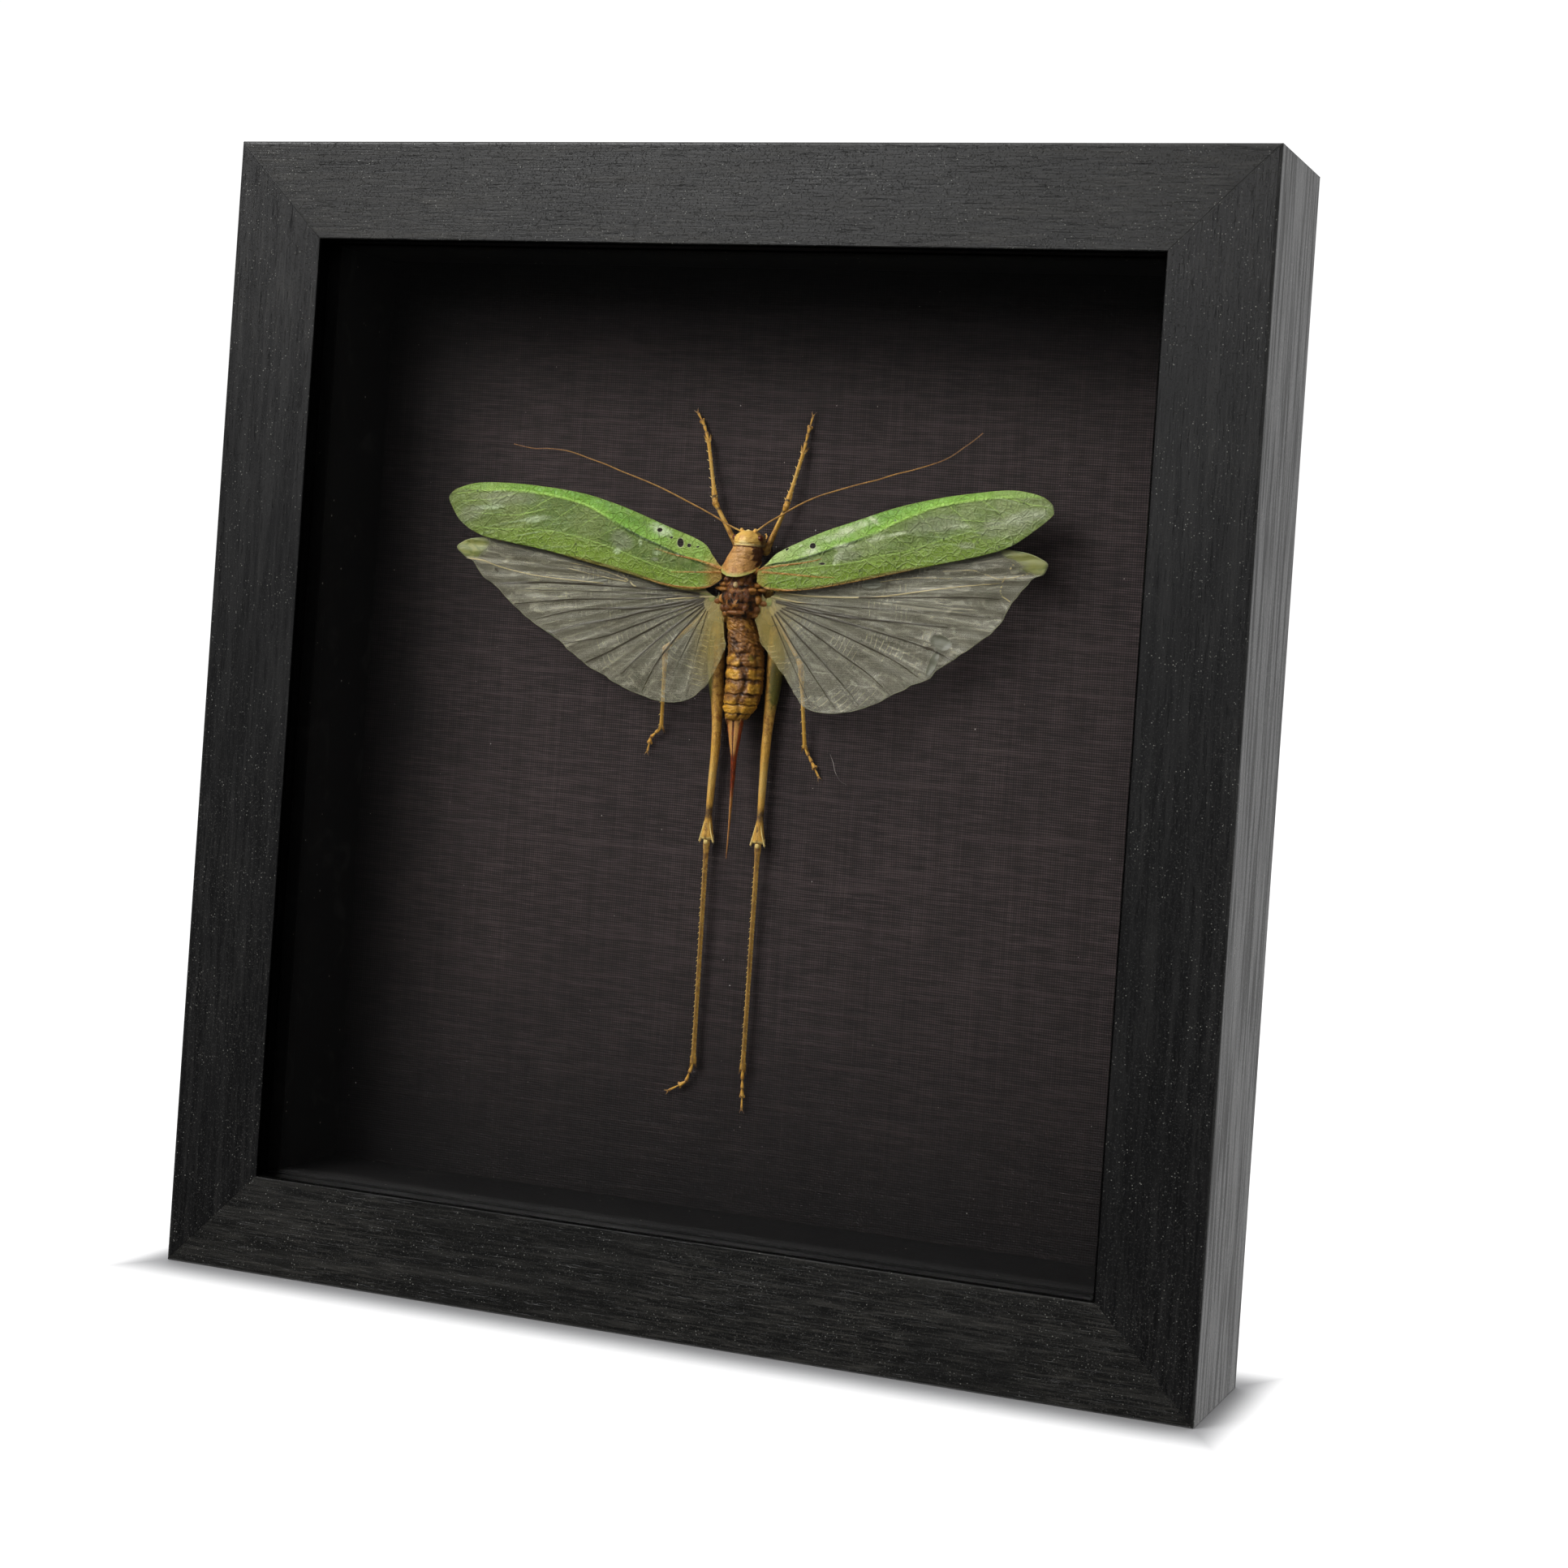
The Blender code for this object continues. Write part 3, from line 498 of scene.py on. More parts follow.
class Recipe:
    """A material or world being put together from nodes."""

    def __init__(self, owner: bpy.types.Material | bpy.types.World, output: str) -> None:
        """Start from an empty node tree with its output node."""
        owner.use_nodes = True
        self.tree = owner.node_tree
        self.tree.nodes.clear()
        self.output = self.node(output)

    def node(
        self, kind: str, settings: dict[str, object] | None = None,
        inputs: dict[str | int, object] | None = None,
    ) -> bpy.types.Node:
        """Add a node.

        Args:
            kind: The node's type, without its ShaderNode prefix.
            settings: The node's own options, set before its sockets.
            inputs: A value, Field or socket for each input, by identifier, name or number.

        Returns:
            The node.
        """
        made = self.tree.nodes.new("ShaderNode" + kind)
        for key, value in (settings or {}).items():
            setattr(made, key, value)
        by_identifier = {socket.identifier: socket for socket in made.inputs}
        for key, value in (inputs or {}).items():
            socket = by_identifier.get(key) or made.inputs[key]
            value = value.socket if isinstance(value, Field) else value
            if isinstance(value, bpy.types.NodeSocket):
                self.tree.links.new(value, socket)
            else:
                socket.default_value = value
        return made

    def field(self, kind: str, settings: dict, inputs: dict, output: int = 0) -> Field:
        """Add a node and take one of its outputs as a number."""
        return Field(self, self.node(kind, settings, inputs).outputs[output])

    def place(self) -> bpy.types.NodeSocket:
        """Where a point of the surface lies, in metres."""
        return self.node("TexCoord").outputs["Object"]

    def axes(self, vector: bpy.types.NodeSocket) -> tuple[Field, Field, Field]:
        """The three parts of a vector."""
        split = self.node("SeparateXYZ", inputs={0: vector})
        return tuple(Field(self, socket) for socket in split.outputs)

    def vector(self, x: Field, y: Field | float, z: Field | float) -> bpy.types.NodeSocket:
        """Three numbers as one vector socket."""
        return self.node("CombineXYZ", inputs={0: x, 1: y, 2: z}).outputs[0]

    def value(self, name: str) -> Field:
        """A value that the mesh carries at its points."""
        return self.field("Attribute", {"attribute_name": name}, {}, 2)

    def noise(
        self, vector: bpy.types.NodeSocket, scale: float, detail: float = 3.0,
        stretch: Point = (1.0, 1.0, 1.0), twist: float = 0.0, rough: float = 0.55,
    ) -> Field:
        """Cloudy noise, about 0.2 to 0.8.

        Args:
            vector: Where to read it.
            scale: Clouds to a metre, or to one unit of the vector.
            detail: How many finer layers lie over the clouds.
            stretch: Share of the scale along each axis; a small one draws the clouds out.
            twist: How far the clouds are warped.
            rough: Strength of each finer layer against the one before.

        Returns:
            The noise.
        """
        turned = self.node("Mapping", inputs={"Vector": vector, "Scale": stretch}).outputs[0]
        inputs = {"Vector": turned, "Scale": scale, "Detail": detail}
        return self.field("TexNoise", {}, inputs | {"Roughness": rough, "Distortion": twist})

    def cells(self, vector: bpy.types.NodeSocket, scale: float, edges: bool = False) -> Field:
        """Distance to the nearest scattered point, or to the nearest edge between them."""
        feature = "DISTANCE_TO_EDGE" if edges else "F1"
        return self.field("TexVoronoi", {"feature": feature}, {"Vector": vector, "Scale": scale})

    def blend(self, base: object, *layers: tuple[Colour, Field]) -> bpy.types.NodeSocket:
        """Lay colours over a base one after another, each as strong as its mask."""
        for colour, mask in layers:
            inputs = {"Factor_Float": mask, "A_Color": base, "B_Color": colour}
            made = self.node("Mix", {"data_type": "RGBA"}, inputs)
            base = next(s for s in made.outputs if s.identifier == "Result_Color")
        return base

    def bump(self, height: Field, reach: float, strength: float) -> bpy.types.NodeSocket:
        """A normal tilted by a height of 0 to 1 that stands for reach metres."""
        inputs = {"Strength": strength, "Distance": reach, "Height": height}
        return self.node("Bump", inputs=inputs).outputs[0]

    def coat(self, inputs: dict[str, object]) -> bpy.types.NodeSocket:
        """One Principled shader wired to the output."""
        shader = self.node("BsdfPrincipled", inputs=inputs).outputs[0]
        self.tree.links.new(shader, self.output.inputs["Surface"])
        return shader


@dataclass(frozen=True)
class Finish:
    """What a piece is made of: a named material, made once and shared."""

    name: str

    def material(self) -> bpy.types.Material:
        """The finish's material."""
        found = bpy.data.materials.get(self.name)
        if found is None:
            found = bpy.data.materials.new(self.name)
            self.mix(Recipe(found, "OutputMaterial"))
        return found

    def mix(self, recipe: Recipe) -> None:
        """Put the material together."""
        raise NotImplementedError


# --- Finishes of the case -------------------------------------------------------------


@dataclass(frozen=True)
class StainedWood(Finish):
    """Pale open-grained wood under a thin black stain: fine fibres, pores and dust."""

    grain: Grain = Grain.ACROSS
    # Painted light: how pale the fibres are low on the case; at the top of the case it is 1.1
    handled: float = 0.95
    stain: Colour = seen(15, 15, 16)
    fibre: Colour = seen(56, 55, 53)
    rubbed: Colour = seen(66, 66, 64)
    speck: Colour = seen(164, 164, 156)
    grit: Colour = seen(92, 89, 84)

    def mix(self, recipe: Recipe) -> None:
        """Fibres and pores run with the grain; specks and clouds of wear lie over them."""
        place = recipe.place()
        x, y, z = recipe.axes(place)
        stretch = self.grain.value
        fibres = recipe.noise(place, 2600.0, 4.0, stretch, twist=0.2, rough=0.7)
        bands = recipe.noise(place, 620.0, 3.0, stretch, twist=0.3)
        pores = recipe.noise(place, 3600.0, 2.0, stretch).rise(0.62, 0.74)
        clouds = recipe.noise(place, 34.0, 4.0)
        worn = clouds.rise(0.42, 0.68)
        dust = recipe.cells(place, 1500.0)
        specks = (1.0 - dust.rise(0.09, 0.2)) * recipe.noise(place, 160.0, 2.0).rise(0.36, 0.56)
        middle = (CASE_HIGH.z + CASE_LOW.z) / 2
        # Metres past the frame's outline from the front: 0 at its edge, negative within
        sides = (x.size() - CASE_HIGH.x).most((z - middle).size() - middle)
        # Paler along the outer front edges of the bars.
        edge = sides.rise(-0.0007, -0.0002) * (y - CASE_LOW.y).rise(0.0012, 0.0002)
        outer = sides.rise(-0.0004, -0.0001)
        specks = specks * recipe.noise(place, 1000.0, 1.0).rise(0.3, 0.68)
        # Painted shade: from the inner rim of the bar face inwards the wood goes near black and
        # metallic, so it shows no light.
        inner_edge_shade = (sides * -1.0).rise(BAR_FACE - 0.0006, BAR_FACE - 0.0003)
        salt = recipe.noise(place, 3600.0, 3.0, rough=0.7).rise(0.56, 0.74)
        pale = fibres.rise(0.42, 0.78) * (0.34 + 0.5 * worn) + 0.25 * bands.rise(0.45, 0.75)
        # Painted light: fibre paleness is scaled by height, to 1.1 at the top of the case, and the
        # outer side faces take the full pale fibre colour as painted sheen.
        pale = pale * (self.handled + (1.1 - self.handled) * z.rise(0.14, 0.205)).most(outer)
        colour = recipe.blend(
            self.stain, (self.fibre, pale), (self.grit, salt * 0.6 * (0.45 + worn)),
            (self.rubbed, edge * fibres * 0.8),
            (self.stain, pores * 0.7), (self.speck, specks * 0.8),
            (seen(5, 5, 5), inner_edge_shade * 0.95),
        )
        streaks = bands.rise(0.4, 0.66) * (0.35 + 0.65 * outer)
        rough = 0.3 + 0.16 * fibres + 0.22 * streaks
        height = fibres * 0.5 + bands * (0.12 + 0.4 * outer) + salt * 0.7 - pores * 0.5
        recipe.coat({
            "Base Color": colour, "Roughness": rough, "Metallic": inner_edge_shade,
            "Specular IOR Level": 0.5, "Normal": recipe.bump(height, 0.00012, 0.75),
        })


@dataclass(frozen=True)
class ClearGlass(Finish):
    """Clear flat glass, which lets shadow rays straight through."""

    def mix(self, recipe: Recipe) -> None:
        """Glass for sight and for gloss, and nothing at all for shadows."""
        glass = recipe.coat({
            "Base Color": (0.985, 0.995, 0.99, 1.0), "Transmission Weight": 1.0,
            "Roughness": 0.0, "IOR": 1.5,
        })
        open_air = recipe.node("BsdfTransparent").outputs[0]
        shadow = recipe.node("LightPath").outputs["Is Shadow Ray"]
        both = recipe.node("MixShader", inputs={0: shadow, 1: glass, 2: open_air})
        recipe.tree.links.new(both.outputs[0], recipe.output.inputs["Surface"])


@dataclass(frozen=True)
class BlackCard(Finish):
    """Black paper over board: soft fibres and a faint sheen."""

    face: Colour = seen(17, 16, 16)
    scuffed: Colour = seen(46, 44, 43)

    def mix(self, recipe: Recipe) -> None:
        """A felted surface with scuffs and small specks of dust."""
        place = recipe.place()
        felt = recipe.noise(place, 1500.0, 4.0)
        scuffs = recipe.noise(place, 120.0, 5.0, (0.3, 1.0, 1.0), twist=1.0).rise(0.56, 0.74)
        dust = 1.0 - recipe.cells(place, 500.0).rise(0.06, 0.12)
        specks = dust * recipe.noise(place, 210.0, 1.0).rise(0.58, 0.66)
        colour = recipe.blend(
            self.face, (self.scuffed, scuffs * 0.4 + felt * 0.18), (seen(130, 126, 118), specks)
        )
        recipe.coat({
            "Base Color": colour, "Roughness": 0.72 + 0.2 * felt,
            "Specular IOR Level": 0.12, "Normal": recipe.bump(felt, 0.00008, 0.6),
        })


@dataclass(frozen=True)
class WovenCloth(Finish):
    """Fine black book cloth with painted shade near the walls; level threads stand out."""

    shade: Colour = seen(37, 31, 31)
    thread: Colour = seen(89, 76, 75)
    # painted shade: the near black that the cloth goes to towards the walls
    unfaded: Colour = seen(4, 4, 4)
    thread_pitch: float = 0.00045

    def mix(self, recipe: Recipe) -> None:
        """Rows and columns of threads, drawn thick and thin by long clouds of noise."""
        place = recipe.place()
        x, _, z = recipe.axes(place)
        turns = 1.0 / self.thread_pitch
        wander = recipe.noise(place, 90.0, 2.0) * 1.2
        rows = (((z * turns + wander).cycle() - 0.5).size() * 2.0).rise(0.15, 0.95)
        columns = (((x * turns + wander).cycle() - 0.5).size() * 2.0).rise(0.1, 1.0)
        slubs = recipe.noise(place, 1700.0, 3.0, (0.12, 1.0, 1.0), twist=0.2)
        thick = recipe.noise(place, 900.0, 2.0, (0.06, 1.0, 1.0)).rise(0.5, 0.75)
        upright = recipe.noise(place, 1300.0, 2.0, (1.0, 1.0, 0.03))
        lint = recipe.noise(place, 60.0, 5.0, twist=0.5)
        weave = rows * 0.26 + slubs * 0.74 + columns * 0.22 + upright * 0.3
        colour = recipe.blend(
            self.shade, (self.thread, weave.rise(0.55, 1.25) * (0.55 + 0.6 * lint)),
            (self.thread, thick * 0.22),
        )
        # Painted shade: the cloth darkens to near black towards the case's walls, as if they shaded
        # it.
        low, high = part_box("mount_board")
        x, z = x + (lint - 0.5) * 0.01, z + (lint - 0.5) * 0.01
        away_from_wall_shade = (x - low.x).rise(-0.004, 0.044) * (high.x - x).rise(-0.022, 0.022)
        away_from_wall_shade = away_from_wall_shade * (high.z - z).rise(0.0, 0.046) * (z - low.z).rise(-0.016, 0.075)
        colour = recipe.blend(self.unfaded, (colour, 0.03 + 0.97 * away_from_wall_shade))
        recipe.coat({
            "Base Color": colour, "Roughness": 0.85, "Specular IOR Level": 0.22,
            "Sheen Weight": 0.06, "Sheen Roughness": 0.5,
            "Normal": recipe.bump(weave + thick * 0.6, 0.00012, 0.8),
        })


@dataclass(frozen=True)
class FibreBoard(Finish):
    """Dark hardboard: pressed fibres, with a few pale chips."""

    face: Colour = seen(46, 38, 32)
    chip: Colour = seen(98, 80, 62)

    def mix(self, recipe: Recipe) -> None:
        """Short fibres in all directions over slow clouds."""
        place = recipe.place()
        fibres = recipe.noise(place, 900.0, 5.0, twist=1.5, rough=0.7)
        clouds = recipe.noise(place, 30.0, 4.0)
        chips = recipe.noise(place, 700.0, 1.0, (1.0, 1.0, 0.3), twist=2.0).rise(0.66, 0.74)
        colour = recipe.blend(
            self.face, (self.chip, fibres.rise(0.45, 0.8) * 0.45 + chips * 0.4),
            (seen(28, 23, 20), clouds.rise(0.45, 0.7) * 0.6),
        )
        recipe.coat({
            "Base Color": colour, "Roughness": 0.62 + 0.25 * fibres,
            "Normal": recipe.bump(fibres + chips * 0.5, 0.0001, 0.7),
        })


@dataclass(frozen=True)
class PlatedMetal(Finish):
    """Rolled and plated strip: fine draw lines, dulled in patches."""

    bright: Colour = seen(196, 196, 198)
    dull: Colour = seen(120, 118, 114)

    def mix(self, recipe: Recipe) -> None:
        """Lines along x over clouds of tarnish."""
        place = recipe.place()
        lines = recipe.noise(place, 2600.0, 3.0, (0.03, 1.0, 1.0))
        tarnish = recipe.noise(place, 320.0, 5.0, twist=0.5)
        colour = recipe.blend(self.bright, (self.dull, tarnish.rise(0.4, 0.75) * 0.8))
        recipe.coat({
            "Base Color": colour, "Metallic": 1.0, "Roughness": 0.22 + 0.35 * tarnish,
            "Normal": recipe.bump(lines, 0.00003, 0.6),
        })


# --- Finishes of the insect -----------------------------------------------------------


@dataclass(frozen=True)
class DriedShell(Finish):
    """Dried insect shell. The mesh says where it is pale, green, dark or gold."""

    base: Colour = seen(176, 124, 66)
    stain: Colour = seen(128, 78, 34)
    pale: Colour = seen(214, 178, 126)
    green: Colour = seen(146, 160, 96)
    dark: Colour = seen(58, 30, 15)
    gold: Colour = seen(206, 152, 62)
    gloss: float = 0.36
    mottle: float = 520.0
    wrinkle: float = 0.00009

    def mix(self, recipe: Recipe) -> None:
        """Stains in two sizes, then the mesh's own colour places, over a wrinkled skin."""
        place = recipe.place()
        clouds = recipe.noise(place, self.mottle, 4.0, twist=0.6)
        grains = recipe.noise(place, 4.0 * self.mottle, 3.0)
        pits = recipe.cells(place, 3.2 * self.mottle, edges=True).rise(0.0, 0.22)
        frayed = (clouds - 0.5) * 0.9 + (grains - 0.5) * 0.5
        masks = {name: recipe.value(name) for name in ("pale", "green", "dark", "gold")}
        shown = {name: (mask + mask * frayed * 1.4).rise(0.12, 0.8) for name, mask in masks.items()}
        colour = recipe.blend(
            self.base, (self.stain, (clouds * 0.7 + grains * 0.3).rise(0.42, 0.66)),
            (self.gold, shown["gold"]), (self.pale, shown["pale"]),
            (self.green, shown["green"]), (self.dark, shown["dark"]),
            (self.stain, (1.0 - pits) * 0.25),
        )
        height = clouds * 0.9 + grains * 0.35 + pits * 0.25
        recipe.coat({
            "Base Color": colour, "Roughness": self.gloss + 0.3 * grains,
            "Specular IOR Level": 0.5, "Coat Weight": 0.12, "Coat Roughness": 0.25,
            "Normal": recipe.bump(height, self.wrinkle, 0.9),
        })


@dataclass(frozen=True)
class EyeFacets(Finish):
    """A dried compound eye: red brown, finely faceted and glossy."""

    def mix(self, recipe: Recipe) -> None:
        """Small cells over a clouded red brown."""
        place = recipe.place()
        cells = recipe.cells(place, 9000.0, edges=True).rise(0.0, 0.2)
        clouds = recipe.noise(place, 900.0, 3.0)
        colour = recipe.blend(seen(118, 48, 20), (seen(64, 26, 12), clouds.rise(0.4, 0.7)))
        recipe.coat({
            "Base Color": colour, "Roughness": 0.24 + 0.2 * clouds, "Coat Weight": 0.3,
            "Coat Roughness": 0.15, "Normal": recipe.bump(cells, 0.00002, 0.7),
        })


@dataclass(frozen=True)
class AmberGlue(Finish):
    """A dried dab of clear glue, yellowed and full of small bubbles."""

    def mix(self, recipe: Recipe) -> None:
        """Amber clouds with pale bubbles."""
        place = recipe.place()
        clouds = recipe.noise(place, 700.0, 3.0)
        bubbles = 1.0 - recipe.cells(place, 2600.0).rise(0.2, 0.35)
        colour = recipe.blend(
            seen(150, 118, 62), (seen(96, 68, 30), clouds.rise(0.4, 0.7)),
            (seen(200, 178, 130), bubbles * 0.5),
        )
        recipe.coat({
            "Base Color": colour, "Roughness": 0.2 + 0.25 * clouds,
            "Normal": recipe.bump(clouds - bubbles * 0.3, 0.00008, 0.6),
        })


@dataclass(frozen=True)
class PaleDust(Finish):
    """Dust, chips and lint, grey to white."""

    def mix(self, recipe: Recipe) -> None:
        """Each fleck takes its own grey from a coarse noise."""
        place = recipe.place()
        greys = recipe.noise(place, 240.0, 1.0)
        grains = recipe.noise(place, 9000.0, 2.0)
        colour = recipe.blend(seen(84, 80, 76), (seen(190, 186, 178), greys.rise(0.42, 0.66)))
        recipe.coat({
            "Base Color": colour, "Roughness": 0.8 + 0.15 * grains,
            "Normal": recipe.bump(grains, 0.00002, 0.5),
        })


@dataclass(frozen=True)
class ForewingSkin(Finish):
    """Leathery green wing. The mesh carries its bands, veins, patches, holes and grid."""

    field: Colour = seen(96, 122, 44)
    haze: Colour = seen(140, 152, 84)
    costal: Colour = seen(114, 168, 30)
    shaded: Colour = seen(90, 138, 30)
    costal_dull: Colour = seen(138, 166, 62)
    trailing: Colour = seen(126, 156, 34)
    vein: Colour = seen(164, 206, 88)
    branch: Colour = seen(160, 190, 92)
    root: Colour = seen(178, 118, 50)
    edge: Colour = seen(112, 104, 34)
    patch: Colour = seen(190, 206, 160)
    burnt: Colour = seen(70, 58, 36)

    def mix(self, recipe: Recipe) -> None:
        """Bands first, then cells and streaks, then veins, patches and the hole rims."""
        place = recipe.place()
        along, across = recipe.value("along"), recipe.value("across")
        wing = recipe.vector(along, across - along * 0.25, 0.0)
        clouds = recipe.noise(place, 150.0, 5.0, twist=0.4)
        grains = recipe.noise(place, 1500.0, 3.0)
        blotch = recipe.noise(place, 520.0, 4.0, twist=0.9, rough=0.65)
        net = 1.0 - recipe.cells(place, 1150.0, edges=True).rise(0.02, 0.14)
        coarse_net = 1.0 - recipe.cells(place, 420.0, edges=True).rise(0.01, 0.08)
        streaks = recipe.noise(wing, 1.0, 5.0, (0.09, 2.4, 1.0), twist=0.25)
        pale_streaks = streaks.rise(0.53, 0.68) * along.rise(22.0, 46.0)
        dark_streaks = (1.0 - streaks).rise(0.56, 0.7)
        costal, trailing = recipe.value("costal"), recipe.value("trailing")
        over_main = costal.rise(-0.1, 0.22)
        below_low = (trailing + (clouds - 0.5) * 2.4 + (blotch - 0.5) * 1.6).rise(-1.5, 1.5)
        worn = (1.0 - along.rise(4.0, 26.0)) * 0.75 + clouds.rise(0.5, 0.7) * 0.4
        tip = along.rise(40.0, 56.0)
        vein = 1.0 - (recipe.value("vein") + (grains - 0.5) * 0.8).rise(0.4, 1.3)
        branch = 1.0 - recipe.value("branch").rise(0.35, 1.3)
        root = 1.0 - recipe.value("root").rise(0.4, 1.5)
        patch = recipe.value("patch") + (clouds - 0.5) * 2.6 + (grains - 0.5)
        patch = (1.0 - patch.rise(0.3, 1.2)) * 0.75 * (0.4 + 1.2 * blotch)
        grey = 1.0 - (recipe.value("grey") + (clouds - 0.5) * 1.4).rise(0.5, 1.2)
        lit = blotch.rise(0.54, 0.7) * 0.42 + grains.rise(0.6, 0.72) * 0.35
        sunk = (1.0 - blotch).rise(0.55, 0.72) * 0.4 + (1.0 - grains).rise(0.62, 0.74) * 0.3
        burnt_root = 1.0 - (along + (clouds - 0.5) * 7.0).rise(3.2, 7.6)
        dots = 1.0 - recipe.cells(place, 330.0).rise(0.05, 0.1)
        bright = recipe.value("bright")
        edge = recipe.value("edge")
        hole = recipe.value("hole")
        rim = (1.0 - hole.rise(1.08, 1.45)) * 0.45
        colour = recipe.blend(
            self.field,
            (self.haze, (clouds.rise(0.45, 0.7) * 0.45 + tip * 0.45)),
            (seen(52, 76, 26), dark_streaks * 0.5 * (1.0 - tip * 0.5)),
            (self.trailing, below_low * (0.85 - tip * 0.5)),
            (self.costal, over_main * (1.0 - tip * 0.6)),
            (self.shaded, over_main * costal.rise(0.2, 2.6) * 0.8 * (1.0 - tip * 0.5)),
            (self.costal_dull, over_main * worn.least(0.85)),
            (self.haze, (net * 0.34 + coarse_net * 0.24) * (1.0 - 0.4 * over_main)),
            (seen(156, 178, 100), lit), (seen(58, 84, 24), sunk),
            (seen(172, 190, 140), pale_streaks * 0.6 * (1.0 - over_main)),
            (self.branch, branch * 0.8),
            (self.vein, vein * bright * (0.72 - tip * 0.5)),
            (seen(44, 66, 18), vein * (1.0 - bright) * 0.8), (self.patch, patch),
            (seen(160, 160, 138), grey * 0.4 * (0.3 + 1.4 * blotch)),
            (self.edge, edge.rise(0.35, 0.8)), (self.root, root * 0.85),
            (self.root, burnt_root * 0.62), (seen(206, 206, 166), rim),
            (self.burnt, 1.0 - hole.rise(1.0, 1.2)), (seen(60, 70, 34), dots * 0.7),
        )
        solid = over_main.most(below_low * 0.7).most(branch * 0.6).most(vein).most(root)
        clear = (0.82 + 0.18 * solid) * hole.rise(0.92, 1.06)
        height = net * 0.5 + coarse_net * 0.6 + streaks * 0.8 + clouds * 0.8 + grains * 0.2
        recipe.coat({
            "Base Color": colour, "Roughness": 0.34 + 0.2 * grains + 0.08 * clouds,
            "Specular IOR Level": 0.5, "Alpha": clear,
            "Normal": recipe.bump(height + blotch * 0.8, 0.00018, 0.95),
        })


@dataclass(frozen=True)
class HindwingSkin(Finish):
    """Thin clear grey wing. The mesh carries its fan coordinates, veins and edges."""

    film: Colour = seen(176, 172, 144)
    smoke: Colour = seen(136, 130, 104)
    silk: Colour = seen(208, 202, 180)
    vein: Colour = seen(46, 36, 22)
    pale: Colour = seen(188, 170, 122)
    green: Colour = seen(140, 142, 70)
    root: Colour = seen(190, 166, 84)

    def mix(self, recipe: Recipe) -> None:
        """Silky streaks along the fan, ladders of cross veins, then the main veins."""
        place = recipe.place()
        ray, reach = recipe.value("ray"), recipe.value("reach")
        fan = recipe.vector(ray, reach, 0.0)
        clouds = recipe.noise(place, 120.0, 5.0, twist=0.6)
        creases = recipe.noise(place, 420.0, 4.0, (0.35, 1.0, 1.0), twist=2.2)
        silk = recipe.noise(fan, 1.0, 6.0, (2.4, 0.05, 1.0), twist=0.5, rough=0.66)
        shine = silk.rise(0.49, 0.69) * (0.1 + 0.8 * clouds) + creases.rise(0.54, 0.64) * 0.3
        shine = shine * (0.6 + 0.5 * reach.rise(12.0, 40.0))
        folds = (1.0 - silk).rise(0.52, 0.7) * 0.35
        sector = ray - ray.cycle()
        slip = recipe.noise(recipe.vector(sector, 0.0, 0.0), 3.1, 0.0) * 5.0
        drift = recipe.noise(place, 260.0, 1.0) * 0.9
        rung = ((reach * 0.95 + slip + drift).cycle() - 0.5).size()
        rungs = (1.0 - rung.rise(0.03, 0.09)) * reach.rise(5.0, 9.0)
        rungs = rungs * (1.0 - reach.rise(24.0, 42.0))
        rungs = rungs * recipe.noise(place, 200.0, 2.0).rise(0.4, 0.62) * 0.8
        between = 1.0 - ((ray.cycle() - 0.5).size() * 2.0).rise(0.86, 0.97)
        spokes = (1.0 - between) * 0.5
        dark = 1.0 - recipe.value("dark").rise(0.6, 1.6)
        pale = 1.0 - recipe.value("pale").rise(0.35, 1.2)
        green = recipe.value("green") + (clouds - 0.5) * 1.6 + (creases - 0.5) * 0.8
        green = green.rise(0.15, 1.1)
        lobe = recipe.value("lobe")
        hinge = 1.0 - (reach + (clouds - 0.5) * 5.0).rise(2.0, 11.0)
        rim = recipe.value("edge")
        tear = 1.0 - (recipe.value("tear") + (clouds - 0.5) * 0.7).rise(0.8, 1.1)
        colour = recipe.blend(
            self.film, (self.smoke, clouds.rise(0.35, 0.65) * 0.55 + folds * 0.3),
            (self.silk, shine.least(0.9)), (self.root, lobe * (0.66 + 0.6 * clouds).least(1.0)),
            (self.silk, rungs * between * 0.6), (self.smoke, spokes * 0.6),
            (self.root, hinge * 0.6), (seen(84, 88, 76), tear * 0.7), (self.green, green * 0.9),
            (seen(90, 104, 40), green * creases.rise(0.48, 0.6) * 0.7),
            (seen(196, 200, 150), green * folds), (self.pale, pale * 0.9),
            (self.vein, dark * 0.95), (seen(160, 166, 126), rim * 0.5),
        )
        body = 0.14 + 0.5 * shine + 0.12 * clouds + 0.3 * rungs * between
        body = body + 0.06 * lobe + 0.2 * hinge
        cover = body.most(dark * 0.85).most(pale * 0.9).most(green * 0.92)
        cover = cover.most(rim * 0.6).most(tear * 0.7)
        height = silk * 1.2 + creases * 0.7 + rungs * 0.4 + clouds * 0.5
        recipe.coat({
            "Base Color": colour, "Roughness": 0.3 + 0.25 * clouds,
            "Specular IOR Level": 0.5, "Alpha": cover.least(1.0),
            "Normal": recipe.bump(height, 0.00009, 0.6),
        })


# --- Wings ----------------------------------------------------------------------------


@dataclass(frozen=True)
class ForewingPlan:
    """What differs between the two forewings, read off the photo, in mm."""

    lead: tuple[Point, ...]
    trail: tuple[Point, ...]
    main: tuple[Point, ...]
    low: tuple[Point, ...]
    branches: tuple[tuple[Point, ...], ...]
    roots: tuple[tuple[Point, ...], ...]
    holes: tuple[Spot, ...]
    patches: tuple[Spot, ...]
    greys: tuple[Spot, ...]


@dataclass
class Wing:
    """One wing: an open sheet with a thin wall."""

    side: Side
    plan: ForewingPlan | HindwingPlan
    finish: Finish
    kind: str = ""
    wall: float = 0.00009

    def shape(self) -> Shape:
        """The sheet."""
        raise NotImplementedError

    def build(self) -> None:
        """Make the wing in place of its solid."""
        word, kind = self.side.word, self.kind
        add_piece(
            f"{word}_{kind}", self.shape(), self.finish,
            f"{kind}_{word}", self.wall,
        )


